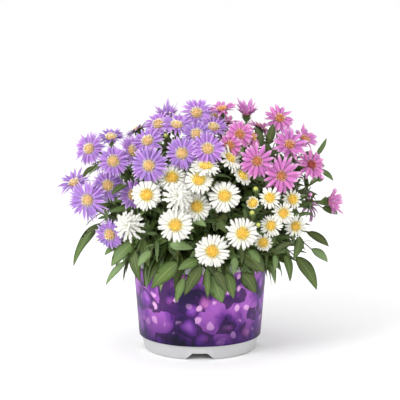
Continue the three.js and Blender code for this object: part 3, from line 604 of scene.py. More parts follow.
def plan_bloom(name, shape, look, stem, centre, axis, radius, rise=None):
    disc, usual_rise, sag, dome = KINDS[shape]
    bloom_plan.append(SimpleNamespace(
        name=name, look=look, small=shape in ('small', 'back'), stem=stem, centre=centre, axis=axis,
        radius=radius, disc=disc, dome=dome, rise=usual_rise if rise is None else rise, sag=sag,
        phase=plan_draws.share(), stalk=stalk_curve(stem, centre - CUP_HEIGHT * axis, axis),
    ))


def plan_seen_bloom(name, shape, stem, across, up, nudge, radius, turn, tilt, rise=None):
    centre = seen_at(across, up, dome_out(across, up) + nudge)
    plan_bloom(name, shape, shape, stem, centre, facing(turn, tilt), radius, rise)


def plan_back_bloom(hand, height, place):
    """A bloom on the back dome, at a height angle and a place from 0 to 1 round one side"""
    turn = radians(hand * place * BACK_SPREAD + plan_draws.between(-4, 4))
    lift = radians(height + plan_draws.between(-4, 4))
    halves, middle = BACK_DOME
    flat = cos(lift)
    out = vec(sin(turn) * flat, cos(turn) * flat, sin(lift)) * halves
    look = 'purple' if hand < 0 else 'pink'
    stem = look + '_back' + ('_middle' if abs(turn) < BACK_OUTER else '')
    radius = BACK_RADIUS + plan_draws.between(-1.5, 1.5)
    plan_bloom(None, 'back', look, stem, out + middle * UP, unit(out + BACK_LOOK_UP * UP), radius)


def plan_bud(stem, across, up, nudge, radius, length, turn, tilt):
    centre = seen_at(across, up, dome_out(across, up) + nudge)
    axis = facing(turn, tilt)
    bud_plan.append(SimpleNamespace(
        stem=stem, centre=centre, axis=axis, radius=radius, length=length,
        stalk=stalk_curve(stem, centre, axis),
    ))


class Room:
    """The space that blooms and stalks take up, for leaves to keep clear of"""

    def __init__(self):
        self.centres = np.array([bloom.centre for bloom in bloom_plan])
        self.axes = np.array([bloom.axis for bloom in bloom_plan])
        self.radii = np.array([bloom.radius for bloom in bloom_plan])
        self.cups = np.array([
            (bloom.radius - bloom.disc) * tan(radians(bloom.rise)) for bloom in bloom_plan
        ])
        self.marks = np.array(stalk_marks)

    def near_bloom(self, point):
        aside_room, below, over = BLOOM_ROOM
        away = point - self.centres
        above = (away * self.axes).sum(1)
        aside = np.sqrt(np.maximum(0, (away * away).sum(1) - above * above))
        return bool(
            ((aside < self.radii + aside_room) & (above > -below) & (above < over + self.cups)).any()
        )

    def near_stalk(self, point):
        return bool((np.linalg.norm(self.marks - point, axis=1) < STALK_ROOM).any())


def near_pot(point):
    aside = hypot(point[0], point[1])
    return point[2] < POT_HEIGHT + POT_ROOM and aside < COLLAR_RADIUS + POT_ROOM


def plan_leaf(stem, base, bow, end, width, upward, stalk=None):
    leaf_plan.append(SimpleNamespace(
        stem=stem, stalk=stalk, base=base, bow=bow, end=end, width=width, upward=upward,
    ))


def plan_shown_leaf(stem, across, up, out, tip_across, tip_up, tip_out, width):
    """A leaf placed by its foot and tip in the picture, on a stalk out of the bush"""
    base = seen_at(across, up, out)
    end = seen_at(tip_across, tip_up, tip_out)
    before = sum(leaf.stem == stem for leaf in leaf_plan)
    low, step, high = SHOWN_STALK_SHARES
    share = stem_share(stem, base[2] - SHOWN_STALK_DROP, low + step * before, high)
    root = curve_point(stem_curve(stem), share)
    span = np.linalg.norm(root - base)
    outward = unit(vec(base[0], base[1], 0))
    start = root + 0.25 * span * (outward + UP)
    stalk = (root, start, base - 0.3 * span * (outward - UP), base)
    length = np.linalg.norm(base - end)
    bow = (base + end) / 2 + 0.12 * length * outward + 0.1 * length * UP
    plan_leaf(stem, base, bow, end, width, unit(outward + SHOWN_UPWARD), stalk)


def place_leaf(stem, root, axis, turn, length, slim, lift, room, limit=None):
    """A leaf turned round its stem until it is clear of the blooms; left off if it never is"""
    lift = radians(lift)
    for attempt in range(LEAF_TRIES):
        out, _ = spoke(turn + TURN * attempt / LEAF_TRIES, *cross_axes(axis))
        way = unit(cos(lift) * out + sin(lift) * axis)
        end = root + length * way - LEAF_DROOP * length * UP
        bow = root + 0.5 * length * way + LEAF_BOW * length * UP
        probes = [bent(root, bow, end, t) for t in LEAF_PROBES]
        if any(
            room.near_bloom(p)
            or near_pot(p)
            or (beyond(p, limit) if limit else room.near_stalk(p) or spread(p, BACK_DOME) > LEAF_LEVEL)
            for p in probes
        ):
            continue
        plan_leaf(stem, root, bow, end, slim * length, unit(axis - axis.dot(way) * way))
        return


def plan_stem_leaves(stem, room):
    lengths, shrink, lift = SOLID_STEM_LEAF
    low, high = STEM_LEAF_SHARES
    turn = plan_draws.between(0, 6)
    for i in range(STEM_LEAVES):
        share = low + (high - low) * i / (STEM_LEAVES - 1)
        root, axis = branch(stem_curve(stem), share)
        length = plan_draws.between(*lengths) - shrink * share
        place_leaf(stem, root, axis, turn + GOLDEN_TURN * i, length, STEM_SLIM, lift, room)


def plan_stalk_leaf(bloom, room):
    lengths, share, lift = SOLID_STALK_LEAF
    root, axis = branch(bloom.stalk, share, 0.05)
    length = plan_draws.between(*lengths)
    turn = plan_draws.between(0, 6)
    place_leaf(bloom.stem, root, axis, turn, length, STALK_SLIM, lift, room)


def plan_sprigs(stem, curve, shares, step, build, room, limit):
    """Small leaves that turn their way up a stem or stalk"""
    lengths, (start, shrink), slim, lifts = build
    turn = looks.uniform(0, 6)
    for i, share in enumerate(shares):
        root, axis = branch(curve, share, step)
        length = looks.uniform(*lengths) * (start - shrink * share)
        lift = looks.uniform(*lifts)
        place_leaf(stem, root, axis, turn + GOLDEN_TURN * i, length, slim, lift, room, limit)


def plan_small_leaves(room):
    """The many lesser leaves up the stems and stalks, which the solids leave out"""
    for stem in STEMS:
        plan_sprigs(stem, stem_curve(stem), STEM_LEAF_PLACES, 0.02, STEM_LEAF, room, INNER_LEVEL)
    shown = [leaf for leaf in leaf_plan if leaf.stalk is not None]
    for plans, limit in ((bloom_plan + bud_plan, STALK_LEVEL), (shown, SHOWN_LEVEL)):
        for plan in plans:
            plan_sprigs(plan.stem, plan.stalk, STALK_LEAF_PLACES, 0.03, STALK_LEAF, room, limit)


def plan_shoot(stem, root, out, room):
    """A short leafy shoot off a main stem, left off if it would reach out of the bush"""
    length = looks.uniform(*SHOOT_LENGTHS)
    end = root + length * unit(out + looks.uniform(*SHOOT_CLIMBS) * UP)
    if beyond(end, SHOOT_LEVEL) or near_pot(end) or room.near_bloom(end):
        return
    bow = root + 0.55 * length * unit(out + 0.3 * UP)
    curve = (root, (root + 2 * bow) / 3, (end + 2 * bow) / 3, end)
    shoot_plan.append(SimpleNamespace(stem=stem, curve=curve))
    lengths, slim, lifts = SHOOT_LEAF
    for i, share in enumerate(SHOOT_LEAF_PLACES):
        foot = curve_point(curve, share)
        ahead = unit(foot - curve_point(curve, share - 0.04))
        reach = looks.uniform(*lengths)
        lift = looks.uniform(*lifts)
        place_leaf(stem, foot, ahead, GOLDEN_TURN * i, reach, slim, lift, room, SPRIG_LEVEL)


def plan_side_shoots(room):
    """Shoots all the way up each main stem, which fill the inside of the bush"""
    for stem in STEMS:
        turn = looks.uniform(0, 6)
        for i, share in enumerate(SHOOT_PLACES):
            root, axis = branch(stem_curve(stem), share, 0.02)
            out, _ = spoke(turn + GOLDEN_TURN * i, *cross_axes(axis))
            plan_shoot(stem, root, out, room)


def plan_rim_leaves(room):
    """Low leaves that hang over the collar all round"""
    for i in range(RIM_LEAVES):
        turn = TURN * (i + looks.uniform(-RIM_PLACE, RIM_PLACE)) / RIM_LEAVES
        out, across = spoke(turn, -BACK, RIGHT)
        base = looks.uniform(*RIM_ROOT) * out + looks.uniform(*RIM_ROOT_HEIGHT) * UP
        drift = looks.uniform(-RIM_DRIFT, RIM_DRIFT) * across
        reach = looks.uniform(*RIM_REACH)
        end = reach * out + 1.6 * drift + looks.uniform(*RIM_TIP_HEIGHT) * UP
        bow = 0.94 * reach * out + drift + looks.uniform(*RIM_BOW_HEIGHT) * UP
        if room.near_bloom(end) or room.near_bloom(bent(base, bow, end, 0.6)):
            continue
        stem = min(STEMS, key=lambda name: np.linalg.norm(curve_point(stem_curve(name), 0.42) - base))
        root = curve_point(stem_curve(stem), looks.uniform(*RIM_STALKS))
        width = looks.uniform(*RIM_WIDTH)
        upward = unit(out + RIM_FACE_UP * UP + RIM_LEAN * looks.uniform(-1, 1) * across)
        stalk = (root, root + 12 * UP, base - 8 * out + 3 * UP, base)
        plan_leaf(stem, base, bow, end, width, upward, stalk)


def plan_blooms():
    for group, places in BLOOMS.items():
        for number, (stem, *place) in enumerate(places, 1):
            name = f'{group}_{number:02}'
            shape = 'double' if name in DOUBLE_BLOOMS else group
            plan_seen_bloom(name, shape, group + '_' + stem, *place)
    for stem, *place in STEM_BLOOMS:
        plan_seen_bloom(None, 'small', 'white_' + stem, *place)
        if stem == 'middle':
            bloom_plan[-1].look, bloom_plan[-1].small = 'white', False
    for height, count in BACK_ROWS:
        for hand in (-1, 1):
            for i in range(count):
                plan_back_bloom(hand, height, (i + 0.5) / count)


def plan_plant():
    plan_blooms()
    for place in BUDS:
        plan_bud(*place)
    for plan in bloom_plan + bud_plan:
        stalk_marks.extend(curve_point(plan.stalk, t) for t in STALK_MARKS)
    room = Room()
    for stem, places in SHOWN_LEAVES.items():
        for place in places:
            plan_shown_leaf(stem, *place)
    for stem in STEMS:
        plan_stem_leaves(stem, room)
    for i, bloom in enumerate(bloom_plan):
        if bloom.name and i % 2 == 0:
            plan_stalk_leaf(bloom, room)
    plan_small_leaves(room)
    plan_side_shoots(room)
    plan_rim_leaves(room)


# Meshes


class Shape:
    """The points and faces of one object, with what its materials read at each point: how far
    along its petal or leaf it is, how far across, and a tint that is the same all over it"""

    def __init__(self):
        self.points = []
        self.marks = []
        self.faces = []
        self.slots = []

    def take(self, points, along, across, tint):
        first = len(self.points)
        self.points += points.tolist()
        self.marks += np.stack(np.broadcast_arrays(along, across, tint), -1).reshape(-1, 3).tolist()
        return first

    def join(self, corners, slot):
        self.faces += corners.tolist()
        self.slots += [slot] * len(corners)

    def skin(self, rings, slot, tint, along=None, across=0.0, tip=None, root=None):
        """Rings of points joined by faces that look outwards, with a point at either end"""
        rows, around = rings.shape[:2]
        along = np.linspace(0, 1, rows) if along is None else along
        across = np.broadcast_to(across, around)
        first = self.take(rings.reshape(-1, 3) * MM, np.repeat(along, around), np.tile(across, rows), tint)
        index = first + np.arange(rows * around).reshape(rows, around)
        following = np.roll(index, -1, axis=1)
        quads = np.stack([index[:-1], following[:-1], following[1:], index[1:]], -1)
        self.join(quads.reshape(-1, 4), slot)
        for end, ring, a, b in ((tip, -1, index, following), (root, 0, following, index)):
            if end is not None:
                top = self.take(end[None] * MM, along[ring], 0, tint)
                self.join(np.stack([a[ring], b[ring], np.full(around, top)], -1), slot)

    def made(self, name, materials, crease=None):
        mesh = bpy.data.meshes.new(name)
        mesh.from_pydata(self.points, [], self.faces)
        mesh.polygons.foreach_set('material_index', self.slots)
        for mark, values in zip(('along', 'across', 'tint'), zip(*self.marks)):
            mesh.attributes.new(mark, 'FLOAT', 'POINT').data.foreach_set('value', values)
        mesh.validate()
        for material in materials:
            mesh.materials.append(material)
        smooth(mesh, crease)
        return placed(name, mesh)


def placed(name, data):
    obj = bpy.data.objects.new(name, data)
    bpy.context.scene.collection.objects.link(obj)
    return obj


def smooth(mesh, crease):
    """Soft shading, apart from edges sharper than the crease"""
    mesh.polygons.foreach_set('use_smooth', np.ones(len(mesh.polygons), bool))
    if crease is not None:
        mesh.set_sharp_from_angle(angle=radians(crease))


def tube(shape, centres, radii, sides, slot, tint, tip=None):
    """A round tube through its centres"""
    centres = np.array(centres)
    ahead = heading(centres)
    side = cross_axes(ahead[0])[0]
    rings = []
    for centre, along, radius in zip(centres, ahead, radii):
        side = unit(side - side.dot(along) * along)
        rings.append(centre + radius * circle(sides, side, np.cross(along, side)))
    shape.skin(np.array(rings), slot, tint, tip=tip, root=centres[0])


def stalk(shape, curve, build, slot, tint, capped=False):
    """A round stem or stalk along its curve, closed at its top where that shows"""
    steps, sides, low, high = build
    points = [curve_point(curve, t) for t in np.linspace(0, 1, steps)]
    tube(shape, points, np.linspace(low, high, steps), sides, slot, tint, points[-1] if capped else None)


def blade(shape, centres, sides, tops, halves, thickness, lifts, slot, tint, tip):
    """A thin closed blade: lifts give how high each place across stands at each ring"""
    rings = (
        centres[:, None]
        + sides[:, None] * (halves[:, None] * ROUND_ACROSS)[..., None]
        + tops[:, None] * (lifts + 0.5 * thickness * ROUND_HEIGHT)[..., None]
    )
    shape.skin(rings, slot, tint, across=ROUND_ACROSS, tip=tip, root=centres[0])


def petal(shape, bloom, turn, root, reach, rise, half, slot, tone, base):
    """One ray: narrow at the root, rounded at the tip, grooved along, and drooping if it is low"""
    widest, at_root, at_tip = RAYS[bloom.look][3:6]
    up = bloom.axis
    out, across = spoke(turn, *cross_axes(up))
    u = np.linspace(0, 1, RAY_RINGS)
    length = reach - root
    sag = bloom.sag + LOW_SAG * max(0, -out[2]) + looks.uniform(-RAY_SAG, RAY_SAG)
    height = base + length * (tan(rise) * u - sag * u * u) + looks.uniform(0, RAY_LIFT)
    drift = looks.uniform(-RAY_DRIFT, RAY_DRIFT) * length
    centres = bloom.centre + np.outer(root + length * u, out) + np.outer(height, up)
    centres += np.outer(drift * u * u, across)
    near = np.minimum(1, u / widest)
    far = np.maximum(0, (u - widest) / (1 - widest))
    width = (at_root + (1 - at_root) * np.sin(near * pi / 2)) * (1 - (1 - at_tip) * far ** RAY_TAPER)
    roll = looks.uniform(-RAY_ROLL, RAY_ROLL) * u
    along = heading(centres)
    sides = np.outer(np.cos(roll), across) + np.outer(np.sin(roll), up)
    tops = units(np.cross(along, sides))
    groove = np.outer(GROOVE * half * (1 - GROOVE_FADE * u), ROUND_ACROSS ** 2)
    tip = centres[-1] + along[-1] * half * (-0.35 if at_tip > BLUNT_TIP else 0.25 + 0.5 * at_tip)
    thickness = SMALL_RAY_THICKNESS if bloom.small else RAY_THICKNESS
    tint = tone + looks.uniform(-RAY_TINT, RAY_TINT)
    blade(shape, centres, sides, tops, half * width, thickness, groove, slot, tint, tip)


def disc_florets(shape, bloom, slot, count):
    """The flower's middle: a low dome set all over with little tubes, closed towards the centre"""
    centre, up, dome = bloom.centre, bloom.axis, bloom.dome
    radius = bloom.disc * DISC_SHARES[bloom.look]
    base = stack(centre, up, [(dome * (1 - s * s) + 0.1, radius * s) for s in DISC_RINGS], DISC_SIDES)
    shape.skin(base, slot, 0.3, 0.1 * DISC_RINGS, tip=centre + (dome + 0.1) * up)
    for i in range(count):
        share = sqrt((i + 0.5) / count)
        out, _ = spoke(GOLDEN_TURN * i + bloom.phase, *cross_axes(up))
        axis = unit(up + FLORET_LEAN * share * share * out + looks.normal(0, FLORET_SCATTER, 3))
        foot = centre + radius * share * out + dome * (1 - share * share) * up
        wide = FLORET_WIDTH * radius / sqrt(count)
        length, top, form = OPEN_FLORET if share > OPEN_FROM else CLOSED_FLORET
        tall = length * looks.uniform(*FLORET_LENGTHS)
        rings = stack(foot, axis, [(tall * level, wide * size) for level, size in form], FLORET_SIDES)
        shape.skin(rings, slot, looks.uniform(0, 1), FLORET_MARKS, share, foot + tall * top * axis)


def bloom_head(shape, bloom, petal_slot, disc_slot):
    """All the petals of a flower, row by row, and its disc"""
    look = bloom.look
    number, rows, half, *_, florets = RAYS[look]
    if bloom.small and look in ('purple', 'pink'):
        number, half, florets = BACK_RAYS, BACK_WIDER * half, BACK_FLORETS
    disc = bloom.disc
    length = bloom.radius - disc
    tone = looks.uniform(0.2, 0.8)
    for k in range(number):
        level = k % rows / (rows - 1)
        turn = bloom.phase + TURN * (k + looks.uniform(-RAY_PLACE, RAY_PLACE)) / number
        if look == 'double':
            (root, inwards), (reach, shorter), (rise, steeper) = DOUBLE_ROOT, DOUBLE_REACH, DOUBLE_RISE
            root = disc * (root - inwards * level)
            reach = root + length * (reach - shorter * level) * looks.uniform(DOUBLE_SHORTEST, 1)
            rise = bloom.rise + rise + steeper * level + looks.uniform(-DOUBLE_TILT, DOUBLE_TILT)
            base = DOUBLE_BASE * bloom.dome * level
        else:
            root = RAY_ROOT * disc
            reach = disc + length * (1 - ROW_SHORTER * level) * looks.uniform(*RAY_REACH)
            rise = bloom.rise + ROW_ANGLE * (2 * level - 1) + looks.uniform(-RAY_RISE, RAY_RISE)
            base = 0.0
        wide = half * looks.uniform(*RAY_WIDTH)
        petal(shape, bloom, turn, root, reach, radians(rise), wide, petal_slot, tone, base)
    disc_florets(shape, bloom, petal_slot if look == 'double' else disc_slot, florets)


def bract(shape, foot, axis, turn, heights, reach, halves, slot):
    """A narrow pointed bract that lies up the side of a cup or bud"""
    out, across = spoke(turn, *cross_axes(axis))
    centres = foot + np.outer(heights, axis) + np.outer(reach, out)
    along = heading(centres)
    sides = np.tile(across, (len(centres), 1))
    tops = np.cross(along, sides)
    tip = centres[-1] + BRACT_TIP * along[-1]
    blade(shape, centres, sides, tops, halves, BRACT_THICKNESS, 0, slot, looks.uniform(0, 1), tip)


def cup(shape, bloom, slot):
    """The green cup under a flower, covered in rows of narrow pointed bracts"""
    axis = bloom.axis
    seat = bloom.centre - CUP_HEIGHT * axis
    wide = min(CUP_WIDEST, bloom.disc / CUP_DISC)
    core = [(CUP_HEIGHT * level, radius * (wide if level > 0.3 else 1)) for level, radius in CUP_PROFILE]
    shape.skin(stack(seat, axis, core, CUP_SIDES), slot, 0.4, tip=seat + 0.92 * CUP_HEIGHT * axis)
    flare = STEEP_FLARE if bloom.rise > STEEP_RISE else FLARE
    u = np.linspace(0, 1, len(CUP_BRACT))
    for row, (low, high, lean) in enumerate(CUP_ROWS):
        for k in range(CUP_BRACTS):
            turn = TURN * (k + 0.5 * row + looks.uniform(-0.15, 0.15)) / CUP_BRACTS
            level = low + (high - low) * u * looks.uniform(0.9, 1.15)
            reach = np.interp(level, *zip(*CUP_PROFILE)) * wide + 0.25 + lean * flare * u ** 3
            bract(shape, seat, axis, turn, CUP_HEIGHT * level, reach, CUP_BRACT, slot)


def bud(shape, plan, green_slot, tip_slot):
    """A closed bud: overlapping pointed bracts round a coloured tip"""
    foot, axis, length = plan.centre, plan.axis, plan.length
    radius = BUD_CORE * plan.radius
    core = [(length * level, radius * size) for level, size in BUD_PROFILE]
    rings = stack(foot, axis, core, BUD_SIDES)
    shape.skin(rings, tip_slot, 0.5, np.linspace(0.2, 1, len(rings)), tip=foot + length * axis)
    for row, (low, high) in enumerate(BUD_ROWS):
        level = np.linspace(low, high, len(BUD_BRACT))
        reach = radius * np.interp(level, *zip(*BUD_PROFILE)) + 0.2
        for k in range(BUD_BRACTS):
            turn = TURN * (k + 0.5 * row) / BUD_BRACTS
            bract(shape, foot, axis, turn, length * level, reach, plan.radius * BUD_BRACT, green_slot)


def leaf(shape, plan, slot, stalk_slot):
    """A lance-shaped leaf folded a little along its midrib, with a gentle wave to its edges"""
    rows = BROAD_ROWS if plan.width > BROAD_LEAF else NARROW_ROWS
    u = np.linspace(0, 1, rows + 1)[:-1]
    tip = plan.end
    centres = np.array([bent(plan.base, plan.bow, tip, t) for t in u])
    along = heading(np.vstack([centres, tip]))[:-1]
    across = np.cross(plan.upward, tip - plan.bow)
    flat = units(across - (along @ across)[:, None] * along)
    high = np.cross(along, flat)
    twist = looks.uniform(-LEAF_TWIST, LEAF_TWIST) * u[:, None]
    sides = np.cos(twist) * flat + np.sin(twist) * high
    tops = np.cos(twist) * high - np.sin(twist) * flat
    forward, fuller = LEAF_OUTLINE
    halves = np.maximum(LEAF_EDGE, 0.5 * plan.width * np.sin(pi * u ** forward) ** fuller)
    phase = looks.uniform(0, 6)
    fold = LEAF_FOLD * np.abs(ROUND_ACROSS)
    slant = LEAF_WAVE_SLANT * ROUND_ACROSS
    wave = LEAF_WAVE * np.sin(LEAF_WAVES * u[:, None] + phase + slant) * ROUND_ACROSS ** 2
    lifts = halves[:, None] * (fold + wave)
    tint = looks.uniform(0, 1)
    blade(shape, centres, sides, tops, halves, LEAF_THICKNESS, lifts, slot, tint, tip)
    if plan.stalk is not None:
        stalk(shape, plan.stalk, LEAF_STALK, stalk_slot, tint)


# Pot, sleeve and soil


def lathe(shape, profile):
    """A closed outline of radius and height turned round the pot's axis"""
    ring = circle(POT_SIDES, RIGHT, BACK)
    shape.skin(np.array([radius * ring + height * UP for radius, height in profile]), 0, 0.5)


def wall_radius(height):
    share = (height - FOOT_HEIGHT) / (COLLAR_BASE - FOOT_HEIGHT)
    return WALL_RADIUS_LOW + (WALL_RADIUS_HIGH - WALL_RADIUS_LOW) * share


def pot_profile():
    return (
        (AXIS_HOLE, FLOOR_HEIGHT),
        (FOOT_RADIUS_HIGH - WALL - 1.2, FLOOR_HEIGHT),
        (FOOT_RADIUS_LOW - WALL, EDGE),
        (FOOT_RADIUS_LOW - WALL + 0.4, 0),
        (FOOT_RADIUS_LOW - EDGE, 0),
        (FOOT_RADIUS_LOW, EDGE),
        (FOOT_RADIUS_HIGH, FOOT_HEIGHT - EDGE),
        (FOOT_RADIUS_HIGH + 0.3, FOOT_HEIGHT),
        (WALL_RADIUS_LOW - 0.2, FOOT_HEIGHT),
        (WALL_RADIUS_LOW + 0.1, FOOT_HEIGHT + EDGE),
        (WALL_RADIUS_HIGH, COLLAR_BASE),
        (COLLAR_RADIUS - 1.4, COLLAR_BASE),
        (COLLAR_RADIUS - 0.5, COLLAR_BASE + 0.4),
        (COLLAR_RADIUS, COLLAR_BASE + 1.5),
        (COLLAR_RADIUS + 0.4, POT_HEIGHT - 1.6),
        (COLLAR_RADIUS + 0.25, POT_HEIGHT - 0.6),
        (COLLAR_RADIUS - 0.2, POT_HEIGHT),
        (COLLAR_RADIUS - 0.9, POT_HEIGHT),
        (COLLAR_RADIUS - WALL, POT_HEIGHT - 0.7),
        (COLLAR_RADIUS - WALL - 0.4, COLLAR_BASE + WALL),
        (WALL_RADIUS_HIGH - WALL, COLLAR_BASE),
        (WALL_RADIUS_LOW - WALL, FOOT_HEIGHT),
        (WALL_RADIUS_LOW - WALL - 2, FLOOR_HEIGHT + WALL),
        (AXIS_HOLE, FLOOR_HEIGHT + WALL),
        (AXIS_HOLE, FLOOR_HEIGHT),
    )


def cutters():
    """The notches in the foot and the drain holes in the floor, as one cutting shape"""
    shape = Shape()
    foot, top, height = NOTCH_FOOT / 2, NOTCH_TOP / 2, NOTCH_HEIGHT
    outline = (
        (-foot, -1),
        (foot, -1),
        (top + NOTCH_ROUND, height - EDGE),
        (top, height),
        (-top, height),
        (-top - NOTCH_ROUND, height - EDGE),
    )
    near = FOOT_RADIUS_LOW - NOTCH_DEPTH / 2
    far = near + NOTCH_DEPTH
    middle = 0.5 * height * UP
    for i in range(NOTCHES):
        out, across = spoke(TURN * i / NOTCHES - pi / 2, RIGHT, BACK)
        rings = [[reach * out + side * across + up * UP for side, up in outline] for reach in (near, far)]
        shape.skin(np.array(rings), 0, 0, tip=far * out + middle, root=near * out + middle)
    for i in range(DRAINS):
        out, _ = spoke(TURN * (i + 0.5) / DRAINS, RIGHT, BACK)
        middle = DRAIN_RING * out + FLOOR_HEIGHT * UP
        ends = [middle - 3 * UP, middle + 5 * UP]
        tube(shape, ends, [DRAIN_RADIUS] * 2, DRAIN_SIDES, 0, 0, ends[1])
    return shape.made('cutters', [])


def make_pot(materials):
    shape = Shape()
    lathe(shape, pot_profile())
    pot = shape.made('nursery_pot', materials)
    knife = cutters()
    cut = pot.modifiers.new('holes', 'BOOLEAN')
    cut.operation = 'DIFFERENCE'
    cut.solver = 'EXACT'
    cut.object = knife
    bpy.context.view_layer.update()
    graph = bpy.context.evaluated_depsgraph_get()
    pot.data = bpy.data.meshes.new_from_object(pot.evaluated_get(graph))
    pot.modifiers.clear()
    bpy.data.objects.remove(knife)
    smooth(pot.data, POT_CREASE)
    return pot


def make_sleeve(materials):
    shape = Shape()
    low, high = wall_radius(SLEEVE_LOW) + SLEEVE_GAP, wall_radius(SLEEVE_HIGH) + SLEEVE_GAP
    lathe(shape, (
        (low, SLEEVE_LOW),
        (low + SLEEVE_THICKNESS - SLEEVE_EDGE, SLEEVE_LOW),
        (low + SLEEVE_THICKNESS, SLEEVE_LOW + SLEEVE_EDGE),
        (high + SLEEVE_THICKNESS, SLEEVE_HIGH - SLEEVE_EDGE),
        (high + SLEEVE_THICKNESS - SLEEVE_EDGE, SLEEVE_HIGH),
        (high, SLEEVE_HIGH),
        (low, SLEEVE_LOW),
    ))
    return shape.made('sleeve_print', materials, SLEEVE_CREASE)


def lump(x, y, scale, phase):
    return (
        np.sin(x * scale + phase) * np.cos(y * scale * 1.13 - phase)
        + 0.6 * np.sin(2.3 * scale * x - 1.7 * scale * y + 2 * phase)
        + 0.4 * np.cos(4.1 * scale * y + 3.3 * scale * x)
    )


def soil_radius(height):
    return wall_radius(height) - WALL - SLEEVE_GAP


def soil_crumb(shape, place):
    """One crumb on the soil: a rough lump, pointed at both ends"""
    size = looks.uniform(*CRUMB_SIZES)
    way = unit(looks.normal(size=3))
    ring = circle(CRUMB_SIDES, *cross_axes(way))
    rings = []
    for level, wide in CRUMB:
        rough = 1 + CRUMB_ROUGH * looks.uniform(-1, 1, (CRUMB_SIDES, 1))
        rings.append(place + level * size * way + size * wide * rough * ring)
    tip, root = place + 0.6 * size * way, place - 0.55 * size * way
    shape.skin(np.array(rings), 0, looks.uniform(0, 1), tip=tip, root=root)


def make_soil(materials):
    shape = Shape()
    brow = SOIL_TOP - SOIL_DOME
    reach = soil_radius(brow) - SOIL_SINK
    base = FLOOR_HEIGHT + WALL + SLEEVE_GAP
    ring = circle(SOIL_SIDES, RIGHT, BACK)
    profile = [
        (WALL_RADIUS_LOW - WALL - 2.6, base, 0),
        (soil_radius(FOOT_HEIGHT + 1), FOOT_HEIGHT + 1, 0),
        (soil_radius(brow), brow - SOIL_SINK, 0),
    ]
    for share in np.linspace(0, 0.98, SOIL_ROWS):
        profile.append((reach * (1 - share), SOIL_TOP - SOIL_DOME * (1 - share) ** 2 - SOIL_SINK, SOIL_LUMP))
    rings = []
    for radius, height, lumpy in profile:
        x, y, _ = radius * ring.T
        rise = 0.5 * lumpy * (lump(x, y, 0.35, 1.0) + 0.6 * lump(x, y, 0.9, 2.2)) * min(1, radius / 6)
        rings.append(np.stack([x, y, height + rise], -1))
    shape.skin(np.array(rings), 0, 0.4, tip=(SOIL_TOP - 0.3) * UP, root=base * UP)
    for _ in range(CRUMBS):
        share = sqrt(looks.uniform(0, 0.95))
        out, _ = spoke(looks.uniform(0, TURN), RIGHT, BACK)
        soil_crumb(shape, reach * share * out + (SOIL_TOP - SOIL_DOME * share * share) * UP)
    return shape.made('potting_soil', materials, SOIL_CREASE)


# Materials; every colour is given as a screen shows it, 0 to 255, in a ramp with its place; relief
# is in metres

BLACK = (0, 0, 0)
WHITE = (255, 255, 255)
LEAF_GREENS = ((38, 62, 14), (84, 110, 32))
VEIN_GREEN = (150, 164, 92)
MIDRIB_GREEN = (160, 172, 100)
SAGE = (134, 144, 102)
STEM_GREENS = ((72, 94, 42), (104, 106, 56))
BRACT_GREENS = ((0.0, (128, 150, 82)), (0.6, (86, 112, 50)), (1.0, (70, 76, 44)))
BUD_GREENS = ((0.2, (112, 136, 52)), (0.8, (190, 196, 96)))
POT_GREYS = ((182, 182, 184), (198, 198, 199))
GROUND = ((0.4, (30, 8, 60)), (0.47, (104, 44, 144)), (0.6, (166, 92, 188)))
VIOLETS = ((0.3, (178, 108, 206)), (0.52, (120, 56, 160)), (0.7, (36, 10, 68)))
MAUVES = ((0.3, (228, 150, 208)), (0.54, (168, 84, 168)), (0.7, (56, 18, 84)))
SPARK_PINK = (240, 180, 236)
FOOT_SHADE = (80, 54, 120)
SOIL_BROWNS = ((0.3, (30, 22, 16)), (0.55, (62, 45, 32)), (0.75, (96, 74, 54)))
PETAL_GLOW = (0.003, 0.0025, 0.003)
FINE_RELIEF = 0.0002
STEM_RELIEF = 0.0003
SOIL_RELIEF = 0.001


def shade(red, green, blue):
    """A screen's colour in the renderer's linear values"""
    def linear(value):
        value /= 255
        return value / 12.92 if value <= 0.04045 else ((value + 0.055) / 1.055) ** 2.4
    return linear(red), linear(green), linear(blue), 1.0


